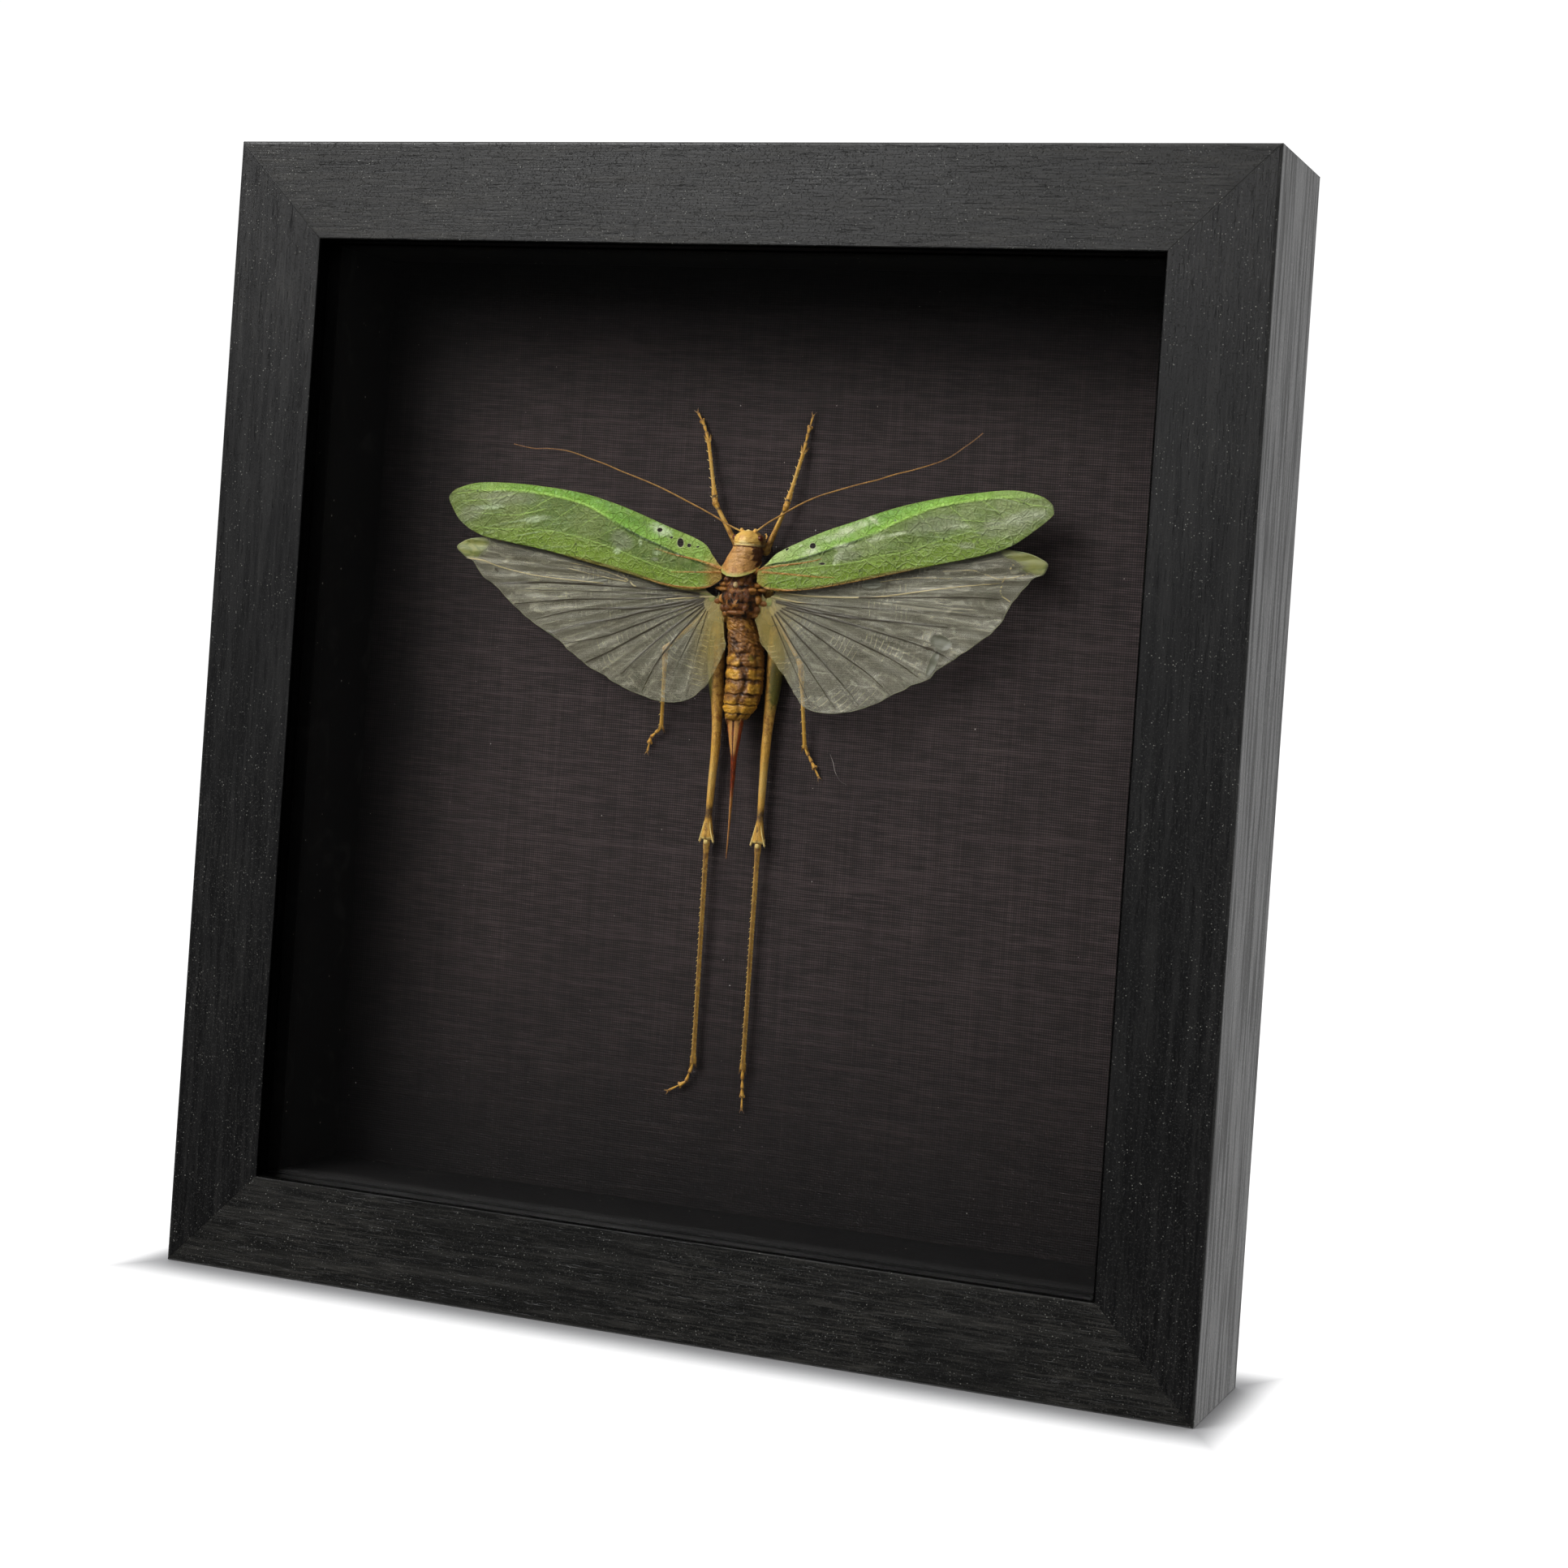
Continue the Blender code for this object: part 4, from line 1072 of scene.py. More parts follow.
LEFT_FOREWING = ForewingPlan(
    lead=(
        (-3.2, 140.7), (-4.1, 141.4), (-5.4, 142.9), (-7.8, 145.3), (-16.0, 148.2),
        (-24.3, 151.1), (-32.6, 153.2), (-41.0, 154.2), (-49.2, 154.6), (-55.4, 154.4),
        (-59.6, 153.3), (-61.4, 152.3), (-61.8, 151.2),
    ),
    trail=(
        (-3.2, 138.6), (-4.1, 137.8), (-6.2, 136.7), (-9.7, 136.1), (-15.1, 136.7),
        (-23.3, 138.6), (-31.7, 140.3), (-40.1, 142.0), (-48.4, 143.2), (-54.1, 144.2),
        (-58.5, 146.4), (-61.2, 149.7), (-61.8, 151.2),
    ),
    main=(
        (-3.6, 140.3), (-9.0, 141.6), (-13.0, 142.8), (-17.0, 144.3), (-20.5, 145.5),
        (-25.0, 147.5), (-29.0, 149.6), (-33.0, 151.2), (-38.0, 152.3), (-44.0, 153.0),
        (-50.0, 153.2), (-57.0, 152.9),
    ),
    low=(
        (-8.0, 139.2), (-14.0, 139.6), (-20.0, 141.2), (-25.0, 142.7), (-30.0, 144.1),
        (-36.0, 145.3), (-43.0, 145.9), (-50.0, 145.6), (-56.0, 145.8),
    ),
    branches=(
        ((-24.6, 147.4), (-27.5, 146.2), (-30.5, 144.2)),
        ((-29.5, 149.2), (-32.6, 147.5), (-34.4, 145.2), (-36.6, 142.6)),
        ((-34.0, 151.2), (-37.8, 148.6), (-41.0, 145.9), (-44.2, 143.4)),
        ((-39.5, 152.4), (-44.0, 149.8), (-49.0, 146.6)),
        ((-26.0, 143.0), (-28.2, 141.0)), ((-31.2, 144.4), (-33.6, 141.6)),
        ((-46.0, 153.2), (-52.0, 151.4), (-59.0, 150.6)),
        ((-41.0, 149.9), (-48.0, 148.4), (-57.5, 148.6)),
        ((-50.0, 153.4), (-56.0, 152.6), (-60.6, 152.0)),
    ),
    roots=(
        ((-3.8, 140.6), (-8.5, 141.8), (-13.5, 142.6), (-17.5, 143.6)),
        ((-3.8, 139.8), (-8.0, 139.6), (-14.0, 139.3)),
        ((-3.8, 137.2), (-9.0, 136.6), (-15.0, 136.9), (-20.0, 138.0)),
    ),
    holes=(
        Spot(-16.5, 147.1, 0.5, 0.38), Spot(-14.0, 145.8, 0.3, 0.22),
        Spot(-12.1, 144.9, 0.58, 0.82, 12), Spot(-10.3, 144.5, 0.37, 0.37),
        Spot(-8.5, 144.3, 0.32, 0.16, 20),
    ),
    patches=(
        Spot(-17.0, 142.8, 1.2, 0.75), Spot(-20.6, 144.6, 0.5, 0.9),
        Spot(-25.4, 142.6, 0.9, 0.7), Spot(-17.0, 147.2, 3.6, 1.1, -20),
        Spot(-45.0, 147.6, 4.0, 0.6, 8), Spot(-53.0, 149.7, 4.6, 0.5, 6),
    ),
    greys=(
        Spot(-17.3, 141.5, 1.0, 0.5), Spot(-24.5, 144.6, 2.8, 1.6, -25),
        Spot(-50.0, 151.6, 7.0, 1.6, 0), Spot(-57.0, 148.4, 3.5, 1.6, 20),
    ),
)

RIGHT_FOREWING = ForewingPlan(
    lead=(
        (3.9, 140.6), (4.7, 141.1), (5.9, 142.2), (8.1, 144.3), (15.2, 147.9), (22.5, 150.7),
        (29.9, 153.4), (37.3, 155.4), (44.7, 156.8), (52.2, 157.7), (57.4, 157.0),
        (59.7, 155.7), (60.3, 154.4),
    ),
    trail=(
        (3.9, 138.4), (4.8, 137.7), (6.4, 137.1), (8.7, 136.9), (15.9, 137.8), (23.3, 139.5),
        (30.8, 141.4), (38.2, 143.3), (46.0, 145.2), (52.4, 147.4), (57.2, 150.8),
        (60.1, 153.4), (60.3, 154.4),
    ),
    main=(
        (3.4, 140.6), (6.4, 141.8), (10.4, 142.6), (14.4, 143.9), (19.4, 145.8), (22.6, 146.9),
        (26.4, 148.7), (30.4, 150.8), (34.4, 152.6), (37.4, 153.9), (42.4, 155.1),
        (48.4, 156.1), (54.4, 156.4),
    ),
    low=(
        (8.0, 140.6), (15.0, 141.8), (22.0, 142.9), (27.4, 144.4), (31.5, 145.3), (36.5, 147.0),
        (43.0, 149.2), (50.0, 151.2), (57.0, 153.6),
    ),
    branches=(
        ((24.0, 147.4), (26.6, 145.9), (28.2, 144.2)),
        ((28.8, 149.6), (31.6, 147.4), (34.6, 146.0), (37.6, 143.8)),
        ((34.8, 152.4), (37.8, 149.6), (40.2, 147.0), (42.6, 145.0)),
        ((40.2, 154.4), (44.0, 151.4), (47.8, 147.4)),
        ((24.2, 143.8), (27.9, 142.6)), ((33.0, 145.8), (35.4, 143.2)),
        ((46.0, 155.8), (50.0, 153.4), (53.6, 149.6)),
        ((38.4, 152.2), (45.0, 151.8), (56.6, 152.2)),
        ((50.0, 156.6), (55.0, 155.4), (59.4, 154.8)),
    ),
    roots=(
        ((3.9, 140.8), (8.4, 141.7), (13.4, 142.6), (16.4, 143.4)),
        ((4.6, 140.3), (9.4, 140.2), (15.4, 140.0), (19.2, 140.1)),
        ((4.6, 137.3), (11.4, 137.2), (15.9, 137.9), (24.0, 139.8), (34.0, 142.3)),
    ),
    holes=(
        Spot(9.5, 144.8, 0.34, 0.2, 30), Spot(14.6, 145.7, 0.56, 0.5),
        Spot(16.8, 142.5, 0.55, 0.2),
    ),
    patches=(
        Spot(20.6, 148.7, 6.4, 1.15, 22), Spot(25.9, 150.9, 1.7, 0.5, -35),
        Spot(11.9, 145.6, 0.5, 0.36), Spot(21.8, 146.0, 3.4, 0.8, 6),
        Spot(14.0, 144.6, 2.6, 0.9, 20), Spot(26.0, 147.4, 3.0, 0.9, 20),
        Spot(30.4, 148.6, 2.6, 0.4, 12), Spot(53.4, 152.6, 5.2, 1.2, 16),
        Spot(43.4, 150.8, 3.0, 0.6, 5), Spot(19.5, 144.0, 1.6, 0.7, 60),
    ),
    greys=(
        Spot(44.3, 147.3, 1.8, 0.7, 0), Spot(52.0, 151.4, 7.0, 2.2, 16),
        Spot(38.5, 151.0, 6.0, 1.6, 12), Spot(22.0, 144.4, 3.0, 1.2, 10),
    ),
)


@dataclass
class Forewing(Wing):
    """One forewing: a ruled sheet between its two edges, arched, with raised veins."""

    kind: str = "forewing"
    height: float = 7.9
    camber: float = 0.5
    steps: int = 300
    cross_steps: int = 76
    read_shift: float = 0.4  # detail was read one mm nearer the board than the wing

    def shape(self) -> Shape:
        """The sheet: straight lines from the leading to the trailing edge.

        Along the wing the lines crowd towards the tip. Height is an arch in proportion to
        the line's length, plus ridges along the veins and slow waves.
        """
        plan, rows, columns = self.plan, self.steps, self.cross_steps
        share = np.linspace(0, 1, rows)
        spread = np.sin(share * math.pi / 2) * 0.5 + share * 0.5
        lead, trail = smooth(plan.lead, EDGE_READS), smooth(plan.trail, EDGE_READS)
        pick = np.rint(spread * (EDGE_READS - 1)).astype(int)
        cross = np.linspace(0, 1, columns)[None, :, None]
        flat = lead[pick][:, None] * (1 - cross) + trail[pick][:, None] * cross
        x, z, across = flat[..., 0], flat[..., 1], cross[..., 0]
        chord = np.linalg.norm(flat[:, -1] - flat[:, 0], axis=1)[:, None]
        out = np.abs(x)
        main = np.array(plan.main)
        low = np.array(plan.low)
        shift = self.read_shift
        by_reach = np.argsort(np.abs(main[:, 0]))
        over_main = z - np.interp(out, np.abs(main[by_reach, 0] + shift), main[by_reach, 1])
        under_low = np.interp(out, np.abs(low[:, 0] + shift), low[:, 1]) - z
        vein = off_lines(x, z, (Line(plan.main, 0.2, 0.3),), shift)
        branches = tuple(Line(points, 0.13, 0.08) for points in plan.branches)
        branch = off_lines(x, z, branches + (Line(plan.low, 0.15, 0.1),), shift)
        root = off_lines(x, z, tuple(Line(points, 0.22, 0.06) for points in plan.roots), shift)
        relief = 0.12 * hump(vein, 0, 1) + 0.06 * hump(branch, 0, 1) + 0.1 * hump(root, 0, 1)
        waves = 0.16 * ripple(x, z, 9.0, 4) + 0.05 * ripple(x, z, 2.4, 5)
        arch = self.camber * chord / chord.max() * 4 * across * (1 - across)
        curl = 0.25 * ramp(across, 0.12, 0.0) * ramp(out, 4, 12)
        height = self.height + arch + relief - curl + waves * ramp(chord, 0.4, 3.0)
        margin = np.minimum(across, 1 - across) * chord
        brown = ramp(across, 0.9, 1.0) * ramp(chord, 1.0, 4.0) * ramp(out, 46.0, 26.0)
        brown = np.maximum(brown * 1.2, 0.7 * ramp(margin, 0.16, 0.03))
        return sheet(in_case(x, height, z), {
            "along": out + 0 * across, "across": across * chord,
            "costal": np.clip(over_main, -3, 3), "trailing": np.clip(under_low, -3, 3),
            "vein": vein, "branch": branch, "root": root, "edge": brown,
            "bright": ramp(out, 22.0, 29.0), "hole": off_spots(x, z, plan.holes),
            "patch": off_spots(x, z, plan.patches, shift),
            "grey": off_spots(x, z, plan.greys, shift),
        })


@dataclass(frozen=True)
class HindwingPlan:
    """What differs between the two hindwings, read off the photo, in mm."""

    root: Point
    margin: tuple[Point, ...]
    dark: tuple[Line, ...]
    pale: tuple[Line, ...]
    green: tuple[Spot, ...]
    lobe: tuple[Spot, ...]
    tears: tuple[Spot, ...]


LEFT_HINDWING = HindwingPlan(
    root=(-4.3, 136.3),
    margin=(
        (-53.3, 144.0), (-57.5, 143.4), (-59.8, 141.9), (-58.0, 139.9), (-56.3, 139.2),
        (-54.3, 136.5), (-50.2, 134.1), (-46.0, 130.3), (-41.3, 127.3), (-38.2, 125.8),
        (-34.4, 123.2), (-30.9, 120.8), (-26.3, 118.6), (-22.4, 116.8), (-16.8, 115.1),
        (-12.6, 114.7), (-9.6, 115.3), (-7.3, 116.7), (-5.3, 118.8), (-4.0, 121.3),
        (-2.9, 123.6), (-2.5, 125.5), (-2.4, 128.0), (-2.9, 131.2),
    ),
    dark=(
        Line(((-8.0, 135.5), (-14.0, 135.9), (-28.0, 136.0),
              (-40.0, 135.9), (-49.5, 135.1)), 0.2, 0.14),
        Line(((-8.0, 134.9), (-20.0, 134.9), (-30.0, 134.8), (-42.0, 134.2)), 0.1, 0.06),
        Line(((-8.0, 135.2), (-20.0, 133.9), (-34.0, 133.0), (-46.5, 131.4)), 0.12, 0.1),
        Line(((-7.0, 134.7), (-13.0, 133.4), (-20.0, 132.1),
              (-26.0, 131.7), (-34.0, 130.8), (-42.0, 128.6)), 0.26, 0.1),
        Line(((-7.0, 134.4), (-15.0, 132.4), (-20.0, 131.3),
              (-24.0, 130.0), (-33.0, 128.0), (-38.5, 126.1)), 0.2, 0.1),
        Line(((-7.4, 134.1), (-14.0, 131.5), (-20.0, 129.1),
              (-27.0, 126.3), (-35.5, 124.3)), 0.2, 0.1),
        Line(((-7.0, 133.8), (-14.0, 130.3), (-20.0, 126.9),
              (-26.0, 123.4), (-31.0, 120.9)), 0.2, 0.12),
        Line(((-7.0, 133.4), (-12.0, 129.6), (-18.0, 124.4), (-22.9, 119.4)), 0.2, 0.12),
        Line(((-6.8, 133.0), (-11.0, 128.4), (-15.3, 122.6), (-18.5, 116.4)), 0.18, 0.12),
        Line(((-6.4, 132.6), (-9.0, 127.6), (-11.6, 121.6), (-13.4, 116.2)), 0.1, 0.06),
        Line(((-6.0, 132.4), (-7.4, 127.0), (-8.6, 121.0), (-9.2, 117.0)), 0.08, 0.05),
        Line(((-38.9, 126.3), (-37.6, 125.6)), 0.3, 0.2),
        Line(((-51.2, 137.9), (-50.0, 136.8)), 0.3, 0.1),
    ),
    pale=(
        Line(((-57.5, 139.6), (-54.0, 139.4), (-50.0, 138.3),
              (-44.0, 137.3), (-38.0, 136.8), (-28.0, 136.4)), 0.2, 0.1),
        Line(((-21.0, 136.1), (-23.5, 137.5), (-30.0, 139.2), (-38.0, 140.3)), 0.14, 0.06),
        Line(((-23.0, 137.0), (-28.0, 137.6), (-36.0, 138.9)), 0.12, 0.06),
        Line(((-21.5, 136.2), (-24.5, 138.6), (-27.0, 139.4)), 0.1, 0.06),
        Line(((-5.0, 136.0), (-9.0, 136.0), (-14.0, 136.1)), 0.3, 0.1),
        Line(((-5.0, 135.2), (-10.0, 134.7), (-15.0, 134.1)), 0.2, 0.08),
    ),
    green=(
        Spot(-57.6, 142.2, 5.4, 2.3, 15), Spot(-7.2, 136.0, 1.9, 0.7, -15),
        Spot(-5.6, 134.9, 0.8, 0.7),
    ),
    lobe=(Spot(-4.4, 127.0, 4.2, 8.5, -12),),
    tears=(Spot(-29.5, 136.9, 3.0, 0.4, 10),),
)

RIGHT_HINDWING = HindwingPlan(
    root=(4.7, 136.5),
    margin=(
        (52.4, 147.0), (56.0, 146.5), (58.8, 145.3), (59.3, 144.3), (58.7, 142.9),
        (57.0, 142.1), (55.3, 140.0), (53.1, 137.2), (51.6, 134.3), (49.9, 131.7),
        (47.2, 129.6), (44.4, 127.5), (40.6, 124.8), (38.3, 122.6), (34.4, 120.7),
        (27.0, 116.7), (21.6, 115.1), (17.0, 115.0), (14.4, 115.8), (12.3, 118.2),
        (10.0, 121.2), (8.05, 123.5), (6.2, 125.8), (4.8, 127.7), (3.9, 129.7), (3.5, 131.4),
    ),
    dark=(
        Line(((7.8, 134.9), (15.0, 133.6), (22.0, 132.9),
              (32.0, 132.6), (41.5, 132.2)), 0.24, 0.12),
        Line(((7.8, 135.2), (16.0, 133.9), (26.0, 132.9)), 0.12, 0.08),
        Line(((9.8, 134.0), (18.0, 132.6), (28.0, 130.6),
              (38.0, 128.2), (43.5, 126.0)), 0.2, 0.12),
        Line(((9.0, 133.8), (16.0, 131.4), (24.0, 128.6),
              (32.0, 125.4), (36.6, 122.8)), 0.16, 0.1),
        Line(((8.6, 133.4), (14.0, 130.4), (20.0, 126.8),
              (27.0, 122.6), (31.0, 119.6)), 0.18, 0.1),
        Line(((8.0, 133.0), (12.6, 128.8), (17.4, 124.6),
              (22.0, 120.4), (25.6, 116.8)), 0.18, 0.1),
        Line(((7.6, 132.6), (11.4, 127.4), (15.2, 122.8), (21.0, 115.8)), 0.16, 0.1),
        Line(((7.0, 132.2), (9.8, 127.0), (12.6, 122.0), (15.8, 116.2)), 0.1, 0.06),
        Line(((24.0, 136.7), (33.0, 137.2), (44.0, 137.9), (51.0, 138.0)), 0.12, 0.1),
        Line(((9.0, 135.0), (24.0, 134.8), (38.0, 134.8), (51.0, 134.4)), 0.08, 0.07),
        Line(((37.9, 128.2), (39.0, 128.0)), 0.35, 0.25),
    ),
    pale=(
        Line(((7.0, 136.8), (14.0, 136.4), (24.0, 136.7), (30.0, 137.4),
              (38.0, 138.9), (44.0, 139.9), (50.6, 140.8)), 0.2, 0.12),
        Line(((28.0, 139.8), (34.0, 140.9), (42.0, 141.2)), 0.1, 0.06),
        Line(((40.0, 142.4), (46.0, 142.9), (51.0, 141.6), (56.5, 143.0)), 0.12, 0.1),
        Line(((53.4, 144.6), (51.6, 141.6), (51.2, 139.0), (53.0, 137.6)), 0.2, 0.16),
        Line(((5.0, 136.2), (9.0, 135.5), (15.0, 134.8)), 0.26, 0.08),
    ),
    green=(
        Spot(54.8, 146.0, 5.4, 1.3, -12), Spot(57.4, 144.4, 3.4, 1.9, -25),
        Spot(6.0, 135.0, 0.8, 0.9), Spot(7.3, 135.9, 1.3, 0.5, -10),
    ),
    lobe=(Spot(6.4, 128.4, 3.4, 8.0, 25),),
    tears=(
        Spot(40.4, 129.4, 2.2, 1.3, -20), Spot(39.2, 125.4, 0.8, 3.0, -20),
        Spot(26.5, 139.4, 2.2, 0.9, 8),
    ),
)


@dataclass
class Hindwing(Wing):
    """One hindwing: a fan of rays from the hinge to the margin, softly pleated."""

    kind: str = "hindwing"
    wall: float = 0.00007
    height: float = 6.5
    bulge: float = 1.2
    pleat: float = 0.1
    sectors: int = 22
    rays: int = 330
    steps: int = 94
    read_shift: float = -0.2  # detail was read half a mm further off the board

    def shape(self) -> Shape:
        """The fan: each ray runs straight from the hinge to its place on the margin.

        Height rises and falls once a sector, more towards the margin, with ridges along
        the veins, a crease round each tear and slow waves.
        """
        plan, rays = self.plan, self.rays
        root = np.array(plan.root)
        reach = np.linspace(0.05, 1, self.steps)[None, :]
        margin = even(plan.margin, rays)
        flat = root + reach[..., None] * (margin[:, None] - root)
        order = np.linspace(0, 1, rays)[:, None]
        lift = self.bulge * np.maximum(1 - 5 * order, 0) * 4 * reach * (1 - reach)
        x, z = flat[..., 0], flat[..., 1] + lift
        radius = np.hypot(x - root[0], z - root[1])
        nick = 0.22 * ripple(order * 60, 0 * order, 3.0, 8) * ramp(reach, 0.9, 1.0)
        x = x - self.side.value * nick
        ray = order * self.sectors
        fold = self.pleat * reach * np.cos(2 * math.pi * ray) * ramp(order, 0.0, 0.1)
        shift = self.read_shift
        dark = off_lines(x, z, plan.dark, shift)
        pale = off_lines(x, z, plan.pale, shift)
        tear = off_spots(x, z, plan.tears, shift)
        relief = 0.07 * hump(dark, 0, 1) + 0.1 * hump(pale, 0, 1) + 0.2 * hump(tear, 1, 0.25)
        waves = 0.3 * ripple(x, z, 11.0, 6) + 0.06 * ripple(x, z, 2.6, 7)
        height = self.height + fold + relief + waves * reach
        rim = (1 - reach) * radius
        return sheet(in_case(x, height, z), {
            "ray": ray + 0 * reach, "reach": radius, "dark": dark, "pale": pale,
            "green": ramp(off_spots(x, z, plan.green), 1.7, 0.4),
            "lobe": ramp(off_spots(x, z, plan.lobe), 1.5, 0.1),
            "edge": ramp(rim, 0.26, 0.06), "tear": np.abs(tear - 0.5) + 0.5,
        })


# --- Body -----------------------------------------------------------------------------


@dataclass
class BodyPart:
    """A part of the body, as ovals along stations: z, x, h, half width, half height in mm."""

    stations: tuple[Point, ...] = ()
    rings: int = 84
    sides: int = 84

    def grid(self) -> tuple[Array, ...]:
        """The smooth stations, and the turn round each ring.

        Returns:
            z, x, h, half width and half height as columns, and the turn as a row, which is
            0 on the right, a quarter turn on top and half a turn on the left.
        """
        columns = smooth(self.stations, self.rings).T[..., None]
        turn = ((np.arange(self.sides) + 0.5) * 2 * math.pi / self.sides)[None]
        return (*columns, turn)

    def wrap(self, swell: Array, values: dict[str, Array]) -> Shape:
        """A skin of the ovals, drawn out by a swell that varies over them."""
        z, x, h, wide, tall, turn = self.grid()
        across, off = wide * swell * np.cos(turn), tall * swell * np.sin(turn)
        return skin(in_case(x + across, h + off, z), values)


@dataclass
class Head(BodyPart):
    """Head seen from above, with eyes, a pale tubercle, feeler sockets and mouthparts."""

    stations: tuple[Point, ...] = (
        (144.6, HEAD_X, 5.8, 2.3, 3.0), (145.1, HEAD_X, 5.8, 2.7, 3.5),
        (145.7, HEAD_X, 5.7, 2.9, 3.7), (146.4, HEAD_X, 5.7, 2.85, 3.6),
        (147.0, HEAD_X, 5.8, 2.5, 3.2), (147.5, HEAD_X, 6.0, 1.9, 2.5),
        (147.85, HEAD_X, 6.2, 1.1, 1.5), (147.98, HEAD_X, 6.3, 0.4, 0.5),
    )
    rings: int = 60
    sides: int = 72
    eye_offset: float = 2.45
    eye_height: float = 6.9
    eye_z: float = 146.55

    def skull(self) -> Shape:
        """The head shell: ovals along the stations with slow lumps and a crescent seam."""
        z, _, _, wide, _, turn = self.grid()
        across = wide * np.cos(turn)
        lumps = 1 + 0.02 * ripple(across, z, 1.4, 11) + 0.012 * ripple(across, z, 0.5, 12)
        seam = 1 - 0.035 * hump(z, 145.35 + 0.05 * across**2, 0.12)
        side_dark = ramp(np.abs(np.cos(turn)), 0.8, 0.97) * 0.6
        return self.wrap(lumps * seam, {
            "pale": 0.75 * hump(across, 0.1, 1.3) * ramp(z, 146.6, 145.4)
            + 0.8 * hump(z, 145.15, 0.25),
            "dark": np.maximum(side_dark, 0.5 * hump(z, 145.38, 0.1)),
            "gold": 0.5 * hump(z, 147.3, 0.6) + 0 * turn,
        })

    def build(self) -> None:
        """Make the head and its small parts."""
        tubercle = egg((HEAD_X + 0.1, 7.0, 147.7), (0.5, 0.75, 0.42), pale=0.9)
        sockets = [egg((HEAD_X + s * 1.15, 6.7, 147.55), (0.5, 0.5, 0.5), gold=0.5) for s in SIDES]
        scapes = [egg((HEAD_X + s * 1.4, 6.8, 147.95), (0.36, 0.38, 0.42), gold=0.3) for s in SIDES]
        clypeus = egg((HEAD_X, 3.2, 147.0), (1.3, 1.3, 0.9), pale=0.3)
        labrum = egg((HEAD_X, 2.2, 146.6), (0.9, 0.8, 0.7), dark=0.3)
        jaws = [egg((HEAD_X + s * 0.8, 2.5, 145.9), (0.6, 0.9, 0.8), dark=0.7) for s in SIDES]
        palps = []
        for side in SIDES:
            bends = ((0.9, 2.4, 146.0), (1.4, 1.6, 146.5), (1.5, 1.2, 147.2), (1.2, 1.0, 147.7))
            path = smooth([(HEAD_X + side * x, h, z) for x, h, z in bends], 30)
            width = 0.16 + 0.05 * np.cos(np.linspace(0, 6 * math.pi, 30))
            palps.append(tube(path, width, width, 8))
        small = [tubercle, *sockets, *scapes, clypeus, labrum, *jaws, *palps]
        add_piece("katydid_head", join([self.skull(), *small]), HEAD_SHELL, "head")
        eyes = []
        for side in SIDES:
            centre = (HEAD_X + side * self.eye_offset, self.eye_height, self.eye_z)
            eyes.append(egg(centre, (0.62, 0.74, 0.6)))
        add_piece("katydid_eyes", join(eyes), EyeFacets("eye_facets"))


@dataclass
class Pronotum(BodyPart):
    """The saddle behind the head: a bent plate with side lobes and a flared green rim."""

    stations: tuple[Point, ...] = (
        (145.0, 1.1, 6.3, 2.65, 3.0), (144.3, 1.0, 6.5, 2.75, 3.1),
        (143.4, 0.75, 6.5, 2.92, 3.2), (142.2, 0.4, 6.5, 3.14, 3.3),
        (141.0, 0.15, 6.5, 3.32, 3.4), (140.0, 0.02, 6.5, 3.42, 3.5),
        (139.0, 0.0, 6.5, 3.47, 3.6),
    )
    rings: int = 96
    sides: int = 96
    half_arc: float = 118.0  # degrees from the top to each side
    rim_swing: float = 2.3  # mm that the hind edge falls back at the sides
    wall: float = 0.00022

    def build(self) -> None:
        """Bend a plate over the body.

        Each line across is an arc of an oval. The hind edge runs further back in the
        middle than at the sides, and the lobes end short of the front and the back.
        """
        turn = np.radians(90 + np.linspace(-self.half_arc, self.half_arc, self.sides))[None]
        z, x, h, wide, tall, _ = self.grid()
        side = (turn - math.pi / 2) / math.radians(self.half_arc)
        travel = np.linspace(0, 1, self.rings)[:, None]
        lobe = ramp(np.abs(side), 0.45, 1.0)
        z = z + (1 - np.sin(turn)) * self.rim_swing * travel**2 - 0.7 * lobe * (1 - travel)
        across = wide * side
        keel = 0.05 * hump(side, 0, 0.03) - 0.1 * hump(side, 0, 0.1)
        furrow = -0.07 * hump(travel, 0.3 + 0.2 * side**2, 0.035) * ramp(np.abs(side), 0.6, 0.35)
        furrow = furrow - 0.1 * hump(travel, 0.44 + 0.5 * side**2, 0.025)
        flare = 0.22 * ramp(travel, 0.86, 1.0) + 0.16 * ramp(travel, 0.07, 0.0)
        swell = keel + furrow + flare + 0.05 * ripple(across, z, 1.2, 21)
        swell = swell + 0.025 * ripple(across, z, 0.4, 22)
        px, ph = x + (wide + swell) * np.cos(turn), h + (tall + swell) * np.sin(turn)
        # Painted shade: the right side lobe is darkened, with a ragged edge.
        ragged = side + 0.08 * ripple(across, z, 1.0, 23) + 0.26 * ramp(travel, 0.3, 0.75)
        right_lobe_shade = ramp(ragged, -0.34, -0.43) * ramp(travel, 0.98, 0.8)
        values = {
            "pale": 0.3 * ramp(np.abs(side), 0.5, 0.2) * ramp(travel, 0.9, 0.6)
            + 0.5 * hump(travel, 0.99, 0.015),
            "green": 0.62 * ramp(travel, 0.76, 1.0) * ramp(np.abs(side), 0.95, 0.6),
            "dark": np.maximum(right_lobe_shade, 0.9 * hump(travel, 0.025, 0.02)),
            "gold": 0.3 * ramp(ripple(across, z, 1.3, 24), 0.1, 0.6) + 0.2 * ramp(travel, 0.1, 0.0),
        }
        add_piece(
            "katydid_pronotum", sheet(in_case(px, ph, z), values), PRONOTUM_SHELL,
            "pronotum", self.wall,
        )


